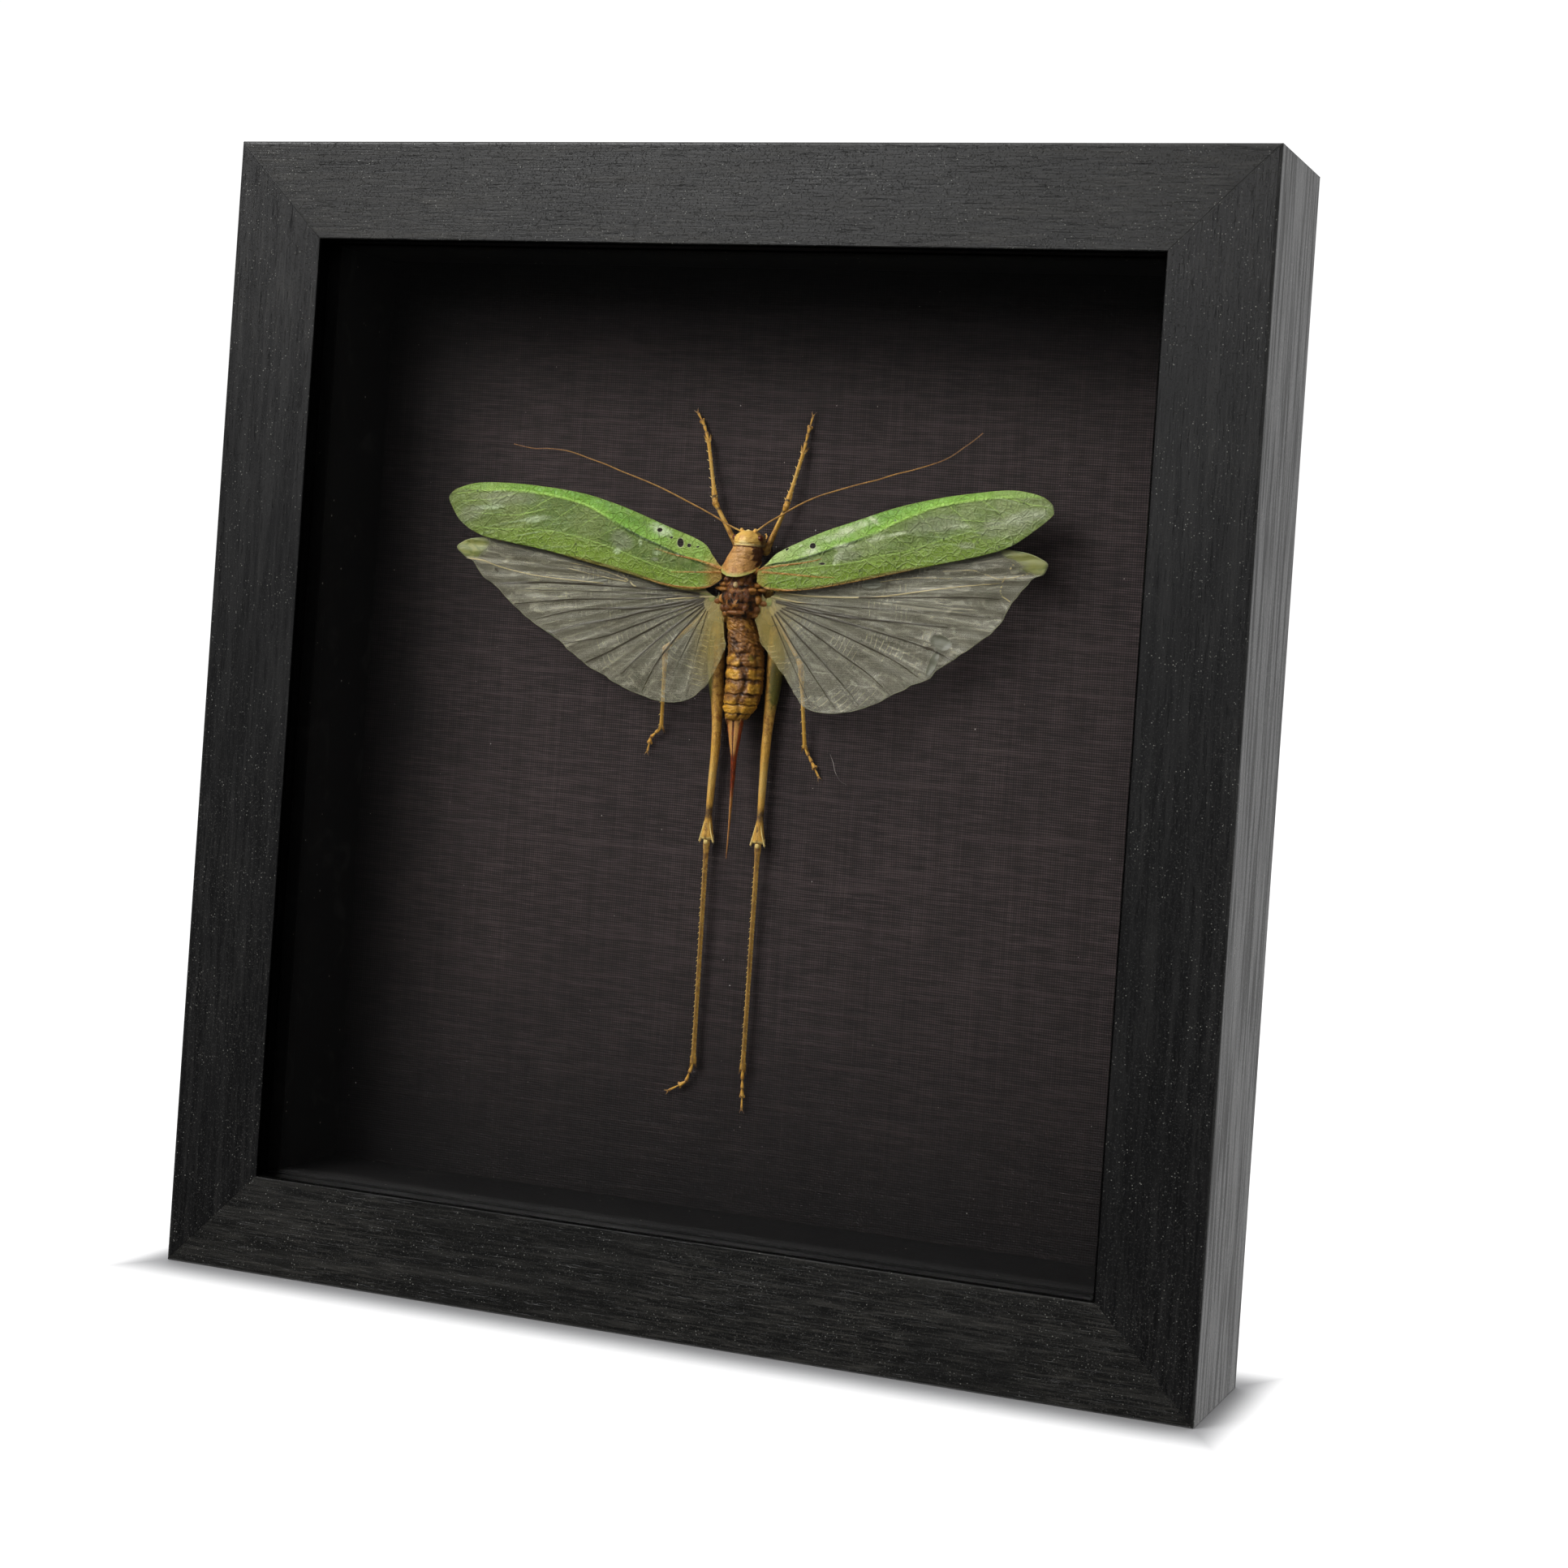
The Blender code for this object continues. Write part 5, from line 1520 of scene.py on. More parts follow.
@dataclass
class Thorax(BodyPart):
    """The wing-bearing middle: dark, glossy and lumpy, with small golden plates."""

    stations: tuple[Point, ...] = (
        (140.6, BODY_X, 5.9, 2.2, 2.4), (139.4, BODY_X, 5.9, 2.9, 2.9),
        (138.2, BODY_X, 5.8, 3.2, 3.3), (136.6, BODY_X, 5.6, 3.7, 3.8),
        (134.8, BODY_X, 5.6, 3.8, 3.8), (133.0, BODY_X, 5.4, 3.4, 3.6),
        (131.5, BODY_X, 5.1, 2.7, 3.1),
    )
    # Small plates on top: x, h, z, then half sizes across, off and along, and how gold
    plates: tuple[tuple[float, ...], ...] = (
        (0.15, 9.0, 137.6, 0.5, 0.5, 0.6, 1.0), (1.2, 8.9, 137.9, 0.5, 0.4, 0.5, 0.5),
        (0.3, 9.1, 136.4, 1.5, 0.4, 0.5, 0.6), (-0.7, 9.0, 135.3, 0.55, 0.5, 0.9, 0.4),
        (1.4, 9.0, 135.3, 0.55, 0.5, 0.9, 0.4), (0.35, 9.0, 134.0, 0.75, 0.55, 0.7, 0.9),
        (-1.5, 8.4, 133.3, 0.7, 0.5, 0.7, 0.3), (2.0, 8.4, 133.3, 0.7, 0.5, 0.7, 0.3),
        (0.3, 8.6, 132.4, 1.9, 0.5, 0.5, 0.5), (-1.9, 8.2, 138.6, 0.7, 0.6, 0.8, 0.1),
        (2.4, 8.2, 138.6, 0.7, 0.6, 0.8, 0.2), (-2.6, 8.2, 136.7, 0.9, 0.5, 0.45, 0.9),
        (3.2, 8.2, 136.8, 0.9, 0.5, 0.45, 0.9),
    )
    # Hinge lumps beside the body, mirrored: x from the body's line, h, z, half sizes, gold
    hinges: tuple[tuple[float, ...], ...] = (
        (3.1, 7.6, 140.4, 0.8, 0.7, 0.7, 0.9), (3.9, 7.5, 139.4, 0.8, 0.6, 0.5, 0.6),
        (3.4, 7.4, 137.7, 0.9, 0.6, 0.5, 0.8), (4.3, 7.0, 136.9, 1.0, 0.5, 0.4, 0.9),
        (3.5, 7.0, 135.0, 0.8, 0.8, 0.9, 0.9), (4.6, 6.6, 134.4, 0.9, 0.6, 0.6, 0.5),
        (3.4, 6.8, 133.2, 0.7, 0.7, 0.8, 0.4), (2.9, 6.6, 132.2, 0.8, 0.6, 0.6, 0.6),
    )

    def build(self) -> None:
        """The core is a lumpy oval; plates and hinges are small ovals half sunk in it."""
        z, _, _, wide, _, turn = self.grid()
        across = wide * np.cos(turn)
        lumps = 1 + 0.045 * ripple(across, z, 1.5, 31) + 0.02 * ripple(across, z, 0.6, 32)
        lumps = lumps - 0.07 * hump(z, 137.1, 0.25) - 0.06 * hump(z, 132.9, 0.2)
        shell = self.wrap(lumps, {
            "gold": 0.45 * ramp(ripple(across, z, 1.6, 33), 0.2, 0.7),
            "dark": 0.7 * ramp(ripple(across, z, 2.1, 34), 0.1, 0.6),
        })
        parts = [shell]
        for p in self.plates:
            pale = 0.6 * (p[6] > 0.95)
            parts.append(egg(p[:3], p[3:6], 14, 18, gold=0.6 * p[6], pale=pale, dark=0.28))
        for side in SIDES:
            for p in self.hinges:
                centre = (BODY_X + side * p[0], p[1] - 0.35, p[2])
                parts.append(egg(centre, p[3:6], 14, 18, gold=0.65 * p[6], dark=0.24))
        for side in SIDES:
            bends = ((1.5, 8.7, 136.3), (0.9, 9.3, 135.0), (0.15, 9.4, 133.9))
            points = [(0.35 + side * x, h, z) for x, h, z in bends]
            parts.append(cord(points, 16, 0.2, 0.12, dark=1.0))
        add_piece("katydid_thorax", join(parts), THORAX_SHELL, "thorax")


@dataclass
class Abdomen(BodyPart):
    """Nine overlapping rings with a groove along the back and gold blocks beside it."""

    stations: tuple[Point, ...] = (
        (131.9, 0.0, 5.0, 2.2, 2.8), (131.3, 0.0, 4.9, 2.5, 3.0), (129.5, 0.4, 4.6, 2.8, 3.3),
        (126.0, 1.15, 4.5, 3.2, 3.5), (122.0, 1.4, 4.5, 3.4, 3.5), (118.0, 1.3, 4.5, 3.4, 3.4),
        (115.2, 0.9, 4.6, 3.1, 3.0), (113.4, 0.6, 4.8, 2.4, 2.4), (112.6, 0.4, 4.9, 1.9, 1.9),
        (112.2, 0.3, 4.9, 1.2, 1.2),
    )
    rings: int = 230
    sides: int = 120
    seams: tuple[float, ...] = (
        131.4, 128.9, 126.9, 124.9, 122.5, 120.0, 117.3, 115.3, 113.6, 112.1,
    )
    gold_left: tuple[float, ...] = (0.45, 0.1, 0.12, 0.62, 1.0, 0.5, 0.4, 0.75, 0.1)
    gold_right: tuple[float, ...] = (0.4, 0.35, 0.15, 0.5, 0.85, 0.95, 0.7, 0.6, 0.1)
    groove_turn: float = 71.0  # degrees from the right, a little off the middle
    fringe: int = 46

    def build(self) -> None:
        """Wrap rings round the stations.

        Within each ring the radius grows to its hind edge and then steps back in. The
        groove and the side folds are drawn in with bells round the turn.
        """
        z, _, _, wide, _, turn = self.grid()
        ring = np.interp(-z, -np.array(self.seams), np.arange(len(self.seams)))
        front = ramp(z, 122.6, 125.0)
        ring = ring + 0.1 * ripple(turn * 2.2, 0 * z, 1.0, 44)
        ring = ring + 0.22 * front * ripple(turn * 3, z, 2.0, 45)
        number = np.clip(ring.astype(int), 0, len(self.gold_left) - 1)
        part = ring - np.floor(ring)
        angle = np.degrees(turn)
        groove = hump(angle, self.groove_turn + 8 * np.sin(ring * 2.1), 8.0) * (1 - 0.75 * front)
        folds = hump(angle, 152, 6) + hump(angle, 28, 6)
        across, wave = wide * np.cos(turn), ripple(wide * np.cos(turn), z, 1.8, 41)
        step = 0.055 * part - 0.05 * hump(part, 0.0, 0.07) - 0.05 * hump(part, 1.0, 0.05)
        pads = 0.035 * np.sin(math.pi * np.clip(part, 0, 1)) * (1 - groove)
        sink = 0.1 * groove + 0.05 * folds
        step = step * (1 - 0.55 * front)
        swell = 1 + step + pads - sink + 0.03 * wave + 0.02 * ripple(across, z, 0.5, 42)
        swell = swell + 0.035 * front * ripple(across + z, z, 0.9, 46)
        left = ramp(angle, self.groove_turn + 8, self.groove_turn + 20) * ramp(angle, 158, 140)
        right = ramp(angle, self.groove_turn - 8, self.groove_turn - 20) * ramp(angle, 2, 16)
        gold = np.array(self.gold_left)[number] * left + np.array(self.gold_right)[number] * right
        block = ramp(part, 0.16, 0.3) * ramp(part, 0.97, 0.86)
        band = np.maximum(hump(part, 0.05, 0.1), hump(part, 0.98, 0.05))
        last = ramp(z, 114.0, 112.9)
        dark = 0.42 * band * (1 - 0.6 * front) + 0.45 * groove * (1 + 0.6 * wave)
        dark = dark + 0.3 * last + 0.2 * folds + 0.6 * hump(angle, 108, 22) * hump(z, 126.4, 1.6)
        pale = 0.4 * gold * hump(part, 0.55, 0.18) * (0.6 + 0.6 * ripple(across, z, 0.7, 47))
        rings = self.wrap(swell, {
            "gold": gold * block * (0.8 + 0.35 * wave) + 0.55 * ramp(z, 116.2, 115.0),
            "dark": np.clip(dark, 0, 1), "pale": pale + 0.25 * hump(part, 0.9, 0.05) * (z < 120),
            "green": 0.5 * hump(z, 124.0, 0.8) * hump(angle, 50, 14),
        })
        whole = join([rings, *self.end_parts()])
        add_piece("katydid_abdomen", whole, ABDOMEN_SHELL, "abdomen")

    def end_parts(self) -> list[Shape]:
        """The two short feelers at the tail, and the ragged fringe of the last ring."""
        parts = []
        for side in SIDES:
            points = [(0.5 + side * 1.3, 6.0, 113.6), (0.4 + side * 1.5, 6.2, 112.6),
                      (0.3 + side * 1.1, 6.1, 111.3)]
            parts.append(cord(points, 14, 0.34, 0.06, dark=0.3))
        rng = np.random.default_rng(43)
        turn = rng.uniform(0, 2 * math.pi, self.fringe)
        across, off = np.cos(turn), np.sin(turn)
        drop = -rng.uniform(0.6, 1.3, self.fringe)
        base = np.stack([0.6 + 2.1 * across, 4.8 + 2.1 * off, np.full(self.fringe, 113.3)], -1)
        lean = np.stack([-0.4 * across, -0.4 * off, drop], -1)
        parts.append(cones(base, base + lean, 0.12, 4, dark=0.8))
        return parts


@dataclass
class Ovipositor(BodyPart):
    """Two long valves side by side, with a dark seam, drawn out to a needle."""

    stations: tuple[Point, ...] = (
        (113.0, 0.3, 4.9, 1.5, 1.2), (112.0, 0.3, 4.9, 1.6, 1.15), (110.4, 0.3, 4.9, 1.4, 1.05),
        (108.5, 0.35, 4.9, 1.08, 1.0), (105.3, 0.45, 4.9, 0.56, 0.8), (102.5, 0.5, 4.9, 0.4, 0.7),
        (99.5, 0.5, 4.9, 0.3, 0.56), (93.5, 0.5, 5.0, 0.17, 0.34), (88.5, 0.45, 5.15, 0.1, 0.18),
        (86.2, 0.4, 5.2, 0.04, 0.05),
    )
    rings: int = 150
    sides: int = 48

    def build(self) -> None:
        """An oval drawn in along its middle, so that it reads as two valves."""
        z, _, _, wide, _, turn = self.grid()
        seam = hump(np.cos(turn), 0.0, 0.13 + 0.1 * ramp(z, 104, 98))
        across = wide * np.cos(turn)
        swell = 1 - 0.22 * seam + 0.02 * ripple(across, z, 1.0, 51)
        base = ramp(z, 104.6, 107.0) * (1 - seam) * ramp(np.abs(np.cos(turn)), 0.9, 0.6)
        shape = self.wrap(swell, {
            "pale": 0.8 * base + 0.6 * ramp(z, 102.0, 96.0),
            "dark": np.maximum(seam * 0.85 * ramp(z, 94, 104), 0 * turn),
            "gold": 0.2 * ramp(z, 103.0, 106.0) + 0 * turn,
        })
        add_piece("katydid_ovipositor", shape, OVIPOSITOR_SHELL, "ovipositor")


HEAD_SHELL = DriedShell(
    "dried_head", base=seen(240, 196, 100), stain=seen(204, 142, 60), pale=seen(250, 228, 156),
    gold=seen(242, 196, 100), mottle=700.0,
)
PRONOTUM_SHELL = DriedShell(
    "dried_pronotum", base=seen(206, 152, 82), stain=seen(160, 102, 46),
    pale=seen(226, 184, 118), green=seen(158, 168, 82), dark=seen(84, 42, 16),
    gold=seen(216, 160, 78), gloss=0.36, mottle=800.0, wrinkle=0.00016,
)
THORAX_SHELL = DriedShell(
    "dried_thorax", base=seen(120, 66, 20), stain=seen(52, 25, 8), pale=seen(240, 214, 152),
    dark=seen(20, 9, 4), gold=seen(204, 138, 52), gloss=0.14, mottle=1300.0, wrinkle=0.00018,
)
ABDOMEN_SHELL = DriedShell(
    "dried_abdomen", base=seen(150, 98, 36), stain=seen(78, 44, 14), pale=seen(222, 184, 104),
    green=seen(146, 136, 44), dark=seen(46, 22, 8), gold=seen(218, 160, 46), gloss=0.2,
    mottle=900.0, wrinkle=0.00016,
)
OVIPOSITOR_SHELL = DriedShell(
    "dried_ovipositor", base=seen(156, 62, 14), stain=seen(96, 32, 6),
    pale=seen(206, 150, 78), dark=seen(50, 18, 5), gold=seen(176, 106, 40), gloss=0.18,
    mottle=1100.0,
)
LEG_SHELL = DriedShell(
    "dried_leg", base=seen(226, 176, 82), stain=seen(154, 96, 32), pale=seen(242, 216, 136),
    green=seen(84, 96, 30), dark=seen(84, 64, 40), gold=seen(230, 176, 64), gloss=0.2,
    mottle=1000.0, wrinkle=0.00014,
)
ANTENNA_SHELL = DriedShell(
    "dried_antenna", base=seen(178, 130, 42), stain=seen(130, 88, 24), pale=seen(214, 174, 80),
    dark=seen(104, 58, 18), gloss=0.3, mottle=900.0,
)


# --- Limbs ----------------------------------------------------------------------------


def stretch(start: Point, end: Point, profile: tuple[Point, ...], count: int) -> tuple[Array, ...]:
    """One straight stretch of a limb.

    Args:
        start: Where it starts, as x, h, z in mm.
        end: Where it ends.
        profile: Share of the way, half width, half height, and how far its middle stands
            away from the body.
        count: Number of rings.

    Returns:
        The path, the half widths, the half heights and the shares.
    """
    rows = np.array([(*row, 0.0)[:4] for row in profile])
    share, wide, tall, shift = smooth(rows, count).T
    start, end = np.array(start), np.array(end)
    away = np.array([math.copysign(1.0, end[0]), 0.0, 0.0])
    path = start + share[:, None] * (end - start) + shift[:, None] * away
    return path, wide, tall, share


@dataclass
class Antenna:
    """One long thin feeler of many short rings."""

    side: Side
    path: tuple[Point, ...]
    root_radius: float = 0.18
    tip_radius: float = 0.09
    rings: int = 96
    reads: int = 4  # points read along each ring

    def build(self) -> None:
        """A tube whose radius swells once a ring."""
        count = self.reads * self.rings
        travel = np.linspace(0, 1, count)
        radius = self.root_radius + (self.tip_radius - self.root_radius) * travel**0.7
        radius = radius * (1 + 0.1 * np.cos(2 * math.pi * self.rings * travel))
        points = even([(x, h, z) for x, h, z in self.path], count)
        wobble = 0.06 * ripple(travel * 60, 0 * travel, 9.0, 60)
        points = points + np.stack([0 * wobble, wobble, 0.5 * wobble], -1)
        shape = tube(points, radius, radius, 8, pale=0.6 * ramp(travel, 0.06, 0.0),
                     dark=0.5 * ramp(travel, 0.4, 1.0))
        word = self.side.word
        add_piece(f"{word}_antenna", shape, ANTENNA_SHELL, f"antenna_{word}")


SLIM_FEMUR = (
    (0.0, 0.5, 0.7), (0.06, 0.58, 0.76), (0.3, 0.52, 0.66), (0.6, 0.44, 0.54),
    (0.85, 0.4, 0.48), (0.93, 0.5, 0.52), (0.985, 0.58, 0.56), (1.01, 0.36, 0.4),
)
SLIM_TIBIA = (
    (-0.01, 0.34, 0.34), (0.03, 0.5, 0.46), (0.09, 0.56, 0.52), (0.18, 0.5, 0.46),
    (0.3, 0.36, 0.36), (0.7, 0.33, 0.33), (0.94, 0.36, 0.36), (1.0, 0.44, 0.4),
)
HIND_FEMUR = (
    (0.0, 1.1, 1.15, 0.2), (0.03, 1.4, 1.4, 0.4), (0.08, 1.58, 1.5, 0.6), (0.15, 1.66, 1.6, 0.7),
    (0.27, 1.42, 1.5, 0.6), (0.42, 1.02, 1.15, 0.2), (0.58, 0.82, 0.96), (0.74, 0.7, 0.84),
    (0.86, 0.62, 0.78), (0.9, 0.68, 0.8), (0.94, 0.9, 0.88), (0.975, 1.14, 0.9),
    (0.995, 1.28, 0.8), (1.003, 0.9, 0.5),
)
HIND_TIBIA = (
    (-0.012, 0.48, 0.5), (0.01, 0.58, 0.6), (0.035, 0.6, 0.62), (0.07, 0.46, 0.56),
    (0.2, 0.42, 0.5), (0.6, 0.38, 0.48), (0.93, 0.4, 0.5), (0.975, 0.55, 0.54), (1.0, 0.6, 0.56),
)
KNEE_EDGE = ((0.5, 0.5, 3.4), (0.8, 0.5, 1.9), (1.12, 0.4, 0.6), (1.42, 0.2, -0.5))
TARSAL_JOINTS = ((0.0, 0.55), (0.55, 1.0), (1.0, 1.4), (1.4, 2.0))
TARSAL_WIDTHS = (0.36, 0.34, 0.42, 0.22)


@dataclass
class Leg:
    """One leg from hip to claws: femur, knee, spined tibia and a four-jointed foot."""

    side: Side
    kind: str
    joints: tuple[Point, ...]
    hind: bool = False
    coxa: tuple[Point, ...] = ()
    spines: int = 7
    spine_length: float = 0.42
    hears: bool = False  # a dark slit below the knee
    bow: float = 0.0  # mm that the femur's middle stands to the right
    femur_rings: int = 130
    tibia_rings: int = 150
    joint_rings: int = 24

    @property
    def name(self) -> str:
        """The piece's name."""
        return f"{self.side.word}_{self.kind}"

    def thigh(self) -> list[Shape]:
        """Coxa, trochanter and femur, with the knee's pointed lobes."""
        hip, knee = self.joints[:2]
        profile = HIND_FEMUR if self.hind else SLIM_FEMUR
        path, wide, tall, share = stretch(hip, knee, profile, self.femur_rings)
        path = path + (self.bow, 0.0, 0.0) * hump(share, 0.45, 0.3)[:, None]
        wave = 0.03 * ripple(share * 40, 0 * share, 6.0, 61)
        green = 0.85 * ramp(share, 0.48, 0.3) * ramp(share, 0.0, 0.08) if self.hind else 0 * share
        femur = tube(
            path, wide * (1 + wave), tall * (1 + wave), 22, 0.035, green=green,
            pale=0.35 * hump(share, 0.72, 0.14) + 0.9 * hump(share, 1.0, 0.01),
            dark=0.75 * hump(share, 0.875, 0.035) + 0.42 * ramp(share, 0.55, 0.15),
            gold=0.45 * ramp(share, 0.4, 0.6),
        )
        if self.hind:
            out = np.sign(hip[0]) * (femur.points[:, 0] / MM - hip[0])
            femur.values["green"] = femur.values["green"] * ramp(out, -0.5, 0.8)
            x, z = femur.points[:, 0] / MM - knee[0], femur.points[:, 2] / MM - knee[2]
            streak = 0.6 * hump(x, 0.0, 0.4) * ramp(z, 4.5, 2.5)
            femur.values["dark"] = np.maximum(femur.values["dark"], streak)
        parts = [femur]
        first = np.array(self.coxa or (np.array(hip) + (0.0, -0.3, 0.9)))
        middle = (first + np.array(hip)) / 2
        parts.append(egg(tuple(first), (0.95, 0.95, 1.1), dark=0.25))
        parts.append(egg(tuple(middle), (0.85, 0.85, 0.9), gold=0.3))
        if self.hind:
            x, h, z = knee
            base = [(x + s * 0.98, h + 0.1, z + 0.75) for s in SIDES]
            tip = [(x + s * 1.5, h + 0.1, z - 0.95) for s in SIDES]
            parts.append(cones(base, tip, 0.42, 10, pale=1.0))
            for s in SIDES:
                edge = [(x + s * out, h + off, z + up) for out, off, up in KNEE_EDGE]
                parts.append(cord(edge, 20, 0.1, 0.2, pale=1.0))
            parts.append(egg((x, h + 0.4, z + 1.3), (0.5, 0.6, 1.6), dark=0.3))
            parts.append(egg((x, h + 0.3, z - 0.55), (0.5, 0.5, 0.55), pale=0.7))
        else:
            x, h, z = knee
            parts.append(egg((x, h + 0.1, z), (0.6, 0.58, 0.66), gold=0.2))
        return parts

    def shin(self) -> list[Shape]:
        """The four-keeled tibia, its two rows of spines and the spurs at its end."""
        knee, ankle = np.array(self.joints[1]), np.array(self.joints[2])
        profile = HIND_TIBIA if self.hind else SLIM_TIBIA
        path, wide, tall, share = stretch(knee, ankle, profile, self.tibia_rings)
        slit = 0.9 * hump(share, 0.1, 0.025) if self.hears else 0 * share
        shank = tube(
            path, wide, tall, 20, 0.09, gold=0.5 * ramp(share, 0.02, 0.2),
            dark=np.maximum(slit, 0.45 * hump(share, 0.03, 0.02) + 0.4 * ramp(share, 0.9, 1.0)),
            pale=0.3 * hump(share, 0.5, 0.4),
        )
        if self.hind:
            x, z = shank.points[:, 0] / MM, shank.points[:, 2] / MM
            middle = np.interp(z, (ankle[2], knee[2]), (ankle[0], knee[0]))
            groove = hump(x - middle, 0.0, 0.34)
            shank.values["dark"] = np.maximum(shank.values["dark"], 0.6 * groove)
            shank.values["pale"] = shank.values["pale"] * (1 - groove)
        parts = [shank]
        along = (ankle - knee) / np.linalg.norm(ankle - knee)
        across = np.cross(along, (0.0, 1.0, 0.0))
        across /= np.linalg.norm(across)
        rng = np.random.default_rng(len(self.name))
        for side in SIDES:
            at = np.linspace(0.1, 0.965, self.spines) + rng.uniform(-0.008, 0.008, self.spines)
            half = np.interp(at, share, wide)[:, None]
            foot = knee + at[:, None] * (ankle - knee) + side * across * half * 0.85
            foot = foot + (0.0, 0.18, 0.0)
            lean = side * across * 0.85 + along * 0.75 + (0.0, 0.3, 0.0)
            length = self.spine_length * rng.uniform(0.75, 1.2, self.spines)[:, None]
            parts.append(cones(foot, foot + lean * length, 0.12, 6, pale=0.9))
        spurs = np.array([side * across * 0.5 + lift for side in SIDES
                          for lift in ((0.0, 0.25, 0.0), (0.0, -0.25, 0.0))])
        ends = ankle + spurs + along * 1.1 + spurs * 0.5
        parts.append(cones(ankle + spurs * 0.6 - along * 0.3, ends, 0.16, 6, dark=0.3))
        return parts

    def foot(self) -> list[Shape]:
        """Four joints, each wider at its far end, the third with two lobes, then claws."""
        line = np.array(self.joints[2:])

        def at(travel: float) -> Array:
            """A place along the foot, which bends at travel 1."""
            return np.array([np.interp(travel, (0, 1, 2), axis) for axis in line.T])

        parts = []
        for (start, end), wide in zip(TARSAL_JOINTS, TARSAL_WIDTHS):
            profile = ((0.0, 0.5 * wide, 0.5 * wide), (0.2, 0.62 * wide, 0.6 * wide),
                       (0.75, wide, 0.8 * wide), (0.97, 0.9 * wide, 0.7 * wide),
                       (1.02, 0.5 * wide, 0.4 * wide))
            path, half, tall, share = stretch(at(start), at(end), profile, self.joint_rings)
            parts.append(tube(path, half, tall, 14, gold=0.6 * hump(share, 0.4, 0.3),
                              dark=0.75 * hump(share, 1.0, 0.16)))
        along = at(2.0) - at(1.2)
        along /= np.linalg.norm(along)
        across = np.cross(along, (0.0, 1.0, 0.0))
        for side in SIDES:
            lobe = at(1.36) + side * across * 0.34 + (0.0, -0.12, 0.0)
            parts.append(egg(tuple(lobe), (0.24, 0.2, 0.32), 10, 12, dark=0.2))
            hook = np.array([(0, 0, 0), (0.34, 0.12, 0.22), (0.7, 0.05, 0.4), (0.92, -0.18, 0.46)])
            path = at(1.97) + hook[:, :1] * along + hook[:, 2:] * side * across
            path = path + hook[:, 1:2] * (0.0, 1.0, 0.0)
            parts.append(cord(path, 12, 0.13, 0.03, 7, dark=np.linspace(0.3, 1, 12)))
        return parts

    def build(self) -> None:
        """Make the leg in place of its solid."""
        whole = join([*self.thigh(), *self.shin(), *self.foot()])
        add_piece(self.name, whole, LEG_SHELL, f"{self.kind}_{self.side.word}")


LIMBS = (
    Antenna(Side.LEFT, (
        (-0.6, 6.9, 147.8), (-3.6, 6.5, 149.0), (-7.3, 6.2, 150.8), (-17.3, 6.0, 155.0),
        (-25.6, 6.0, 157.8), (-31.3, 6.0, 159.6), (-37.4, 6.0, 161.3), (-41.9, 6.0, 161.7),
        (-45.3, 6.0, 161.6), (-49.5, 6.0, 162.3),
    )),
    Antenna(Side.RIGHT, (
        (2.7, 6.9, 147.9), (4.4, 6.5, 149.3), (6.9, 6.2, 151.0), (12.8, 6.0, 154.4),
        (19.9, 6.0, 156.9), (28.8, 6.0, 159.6), (37.7, 6.0, 162.5), (42.4, 6.0, 165.5),
        (45.4, 6.0, 168.0),
    )),
    Leg(Side.LEFT, "foreleg", (
        (-2.4, 2.0, 144.0), (-7.9, 2.4, 153.0), (-10.7, 1.3, 165.0), (-11.9, 1.0, 167.8),
        (-13.5, 0.8, 170.2),
    ), hears=True),
    Leg(Side.RIGHT, "foreleg", (
        (2.8, 2.0, 144.0), (6.6, 2.4, 153.1), (8.9, 1.3, 163.6), (9.4, 1.0, 167.0),
        (10.1, 0.8, 170.4),
    ), hears=True),
    Leg(Side.LEFT, "midleg", (
        (-3.9, 3.6, 135.4), (-15.3, 4.4, 124.8), (-16.4, 1.3, 109.6), (-18.6, 1.0, 107.6),
        (-19.2, 0.8, 104.8),
    )),
    Leg(Side.RIGHT, "midleg", (
        (4.6, 3.6, 135.6), (12.5, 4.4, 123.3), (13.2, 1.3, 108.0), (14.7, 1.0, 105.4),
        (16.2, 0.8, 102.7),
    )),
    Leg(Side.LEFT, "hindleg", (
        (-5.2, 2.4, 130.4), (-5.1, 2.0, 89.3), (-5.0, 1.4, 46.6), (-6.4, 1.0, 42.8),
        (-10.1, 0.8, 40.6),
    ), coxa=(-3.5, 2.2, 132.4), bow=0.7, hind=True, spines=36, spine_length=0.34),
    Leg(Side.RIGHT, "hindleg", (
        (6.0, 2.4, 130.4), (5.4, 2.0, 89.4), (5.2, 1.4, 46.6), (5.2, 1.0, 42.8),
        (5.3, 0.8, 38.9),
    ), coxa=(4.1, 2.2, 132.4), hind=True, spines=36, spine_length=0.34),
)
WINGS = (
    Forewing(Side.LEFT, LEFT_FOREWING, ForewingSkin("left_forewing_skin")),
    Forewing(Side.RIGHT, RIGHT_FOREWING, ForewingSkin(
        "right_forewing_skin", field=seen(110, 134, 54), haze=seen(158, 170, 112),
        costal=seen(130, 182, 44), shaded=seen(100, 150, 38), costal_dull=seen(172, 192, 116),
        patch=seen(206, 216, 172),
    )),
    Hindwing(Side.LEFT, LEFT_HINDWING, HindwingSkin("left_hindwing_skin")),
    Hindwing(Side.RIGHT, RIGHT_HINDWING, HindwingSkin(
        "right_hindwing_skin", film=seen(188, 184, 158), silk=seen(228, 222, 202),
    )),
)


@dataclass
class Katydid:
    """The whole dried insect."""

    def build(self) -> None:
        """Make it from the middle out."""
        body = (Head(), Pronotum(), Thorax(), Abdomen(), Ovipositor())
        for part in (*body, *WINGS, *LIMBS):
            part.build()


# --- Case -----------------------------------------------------------------------------


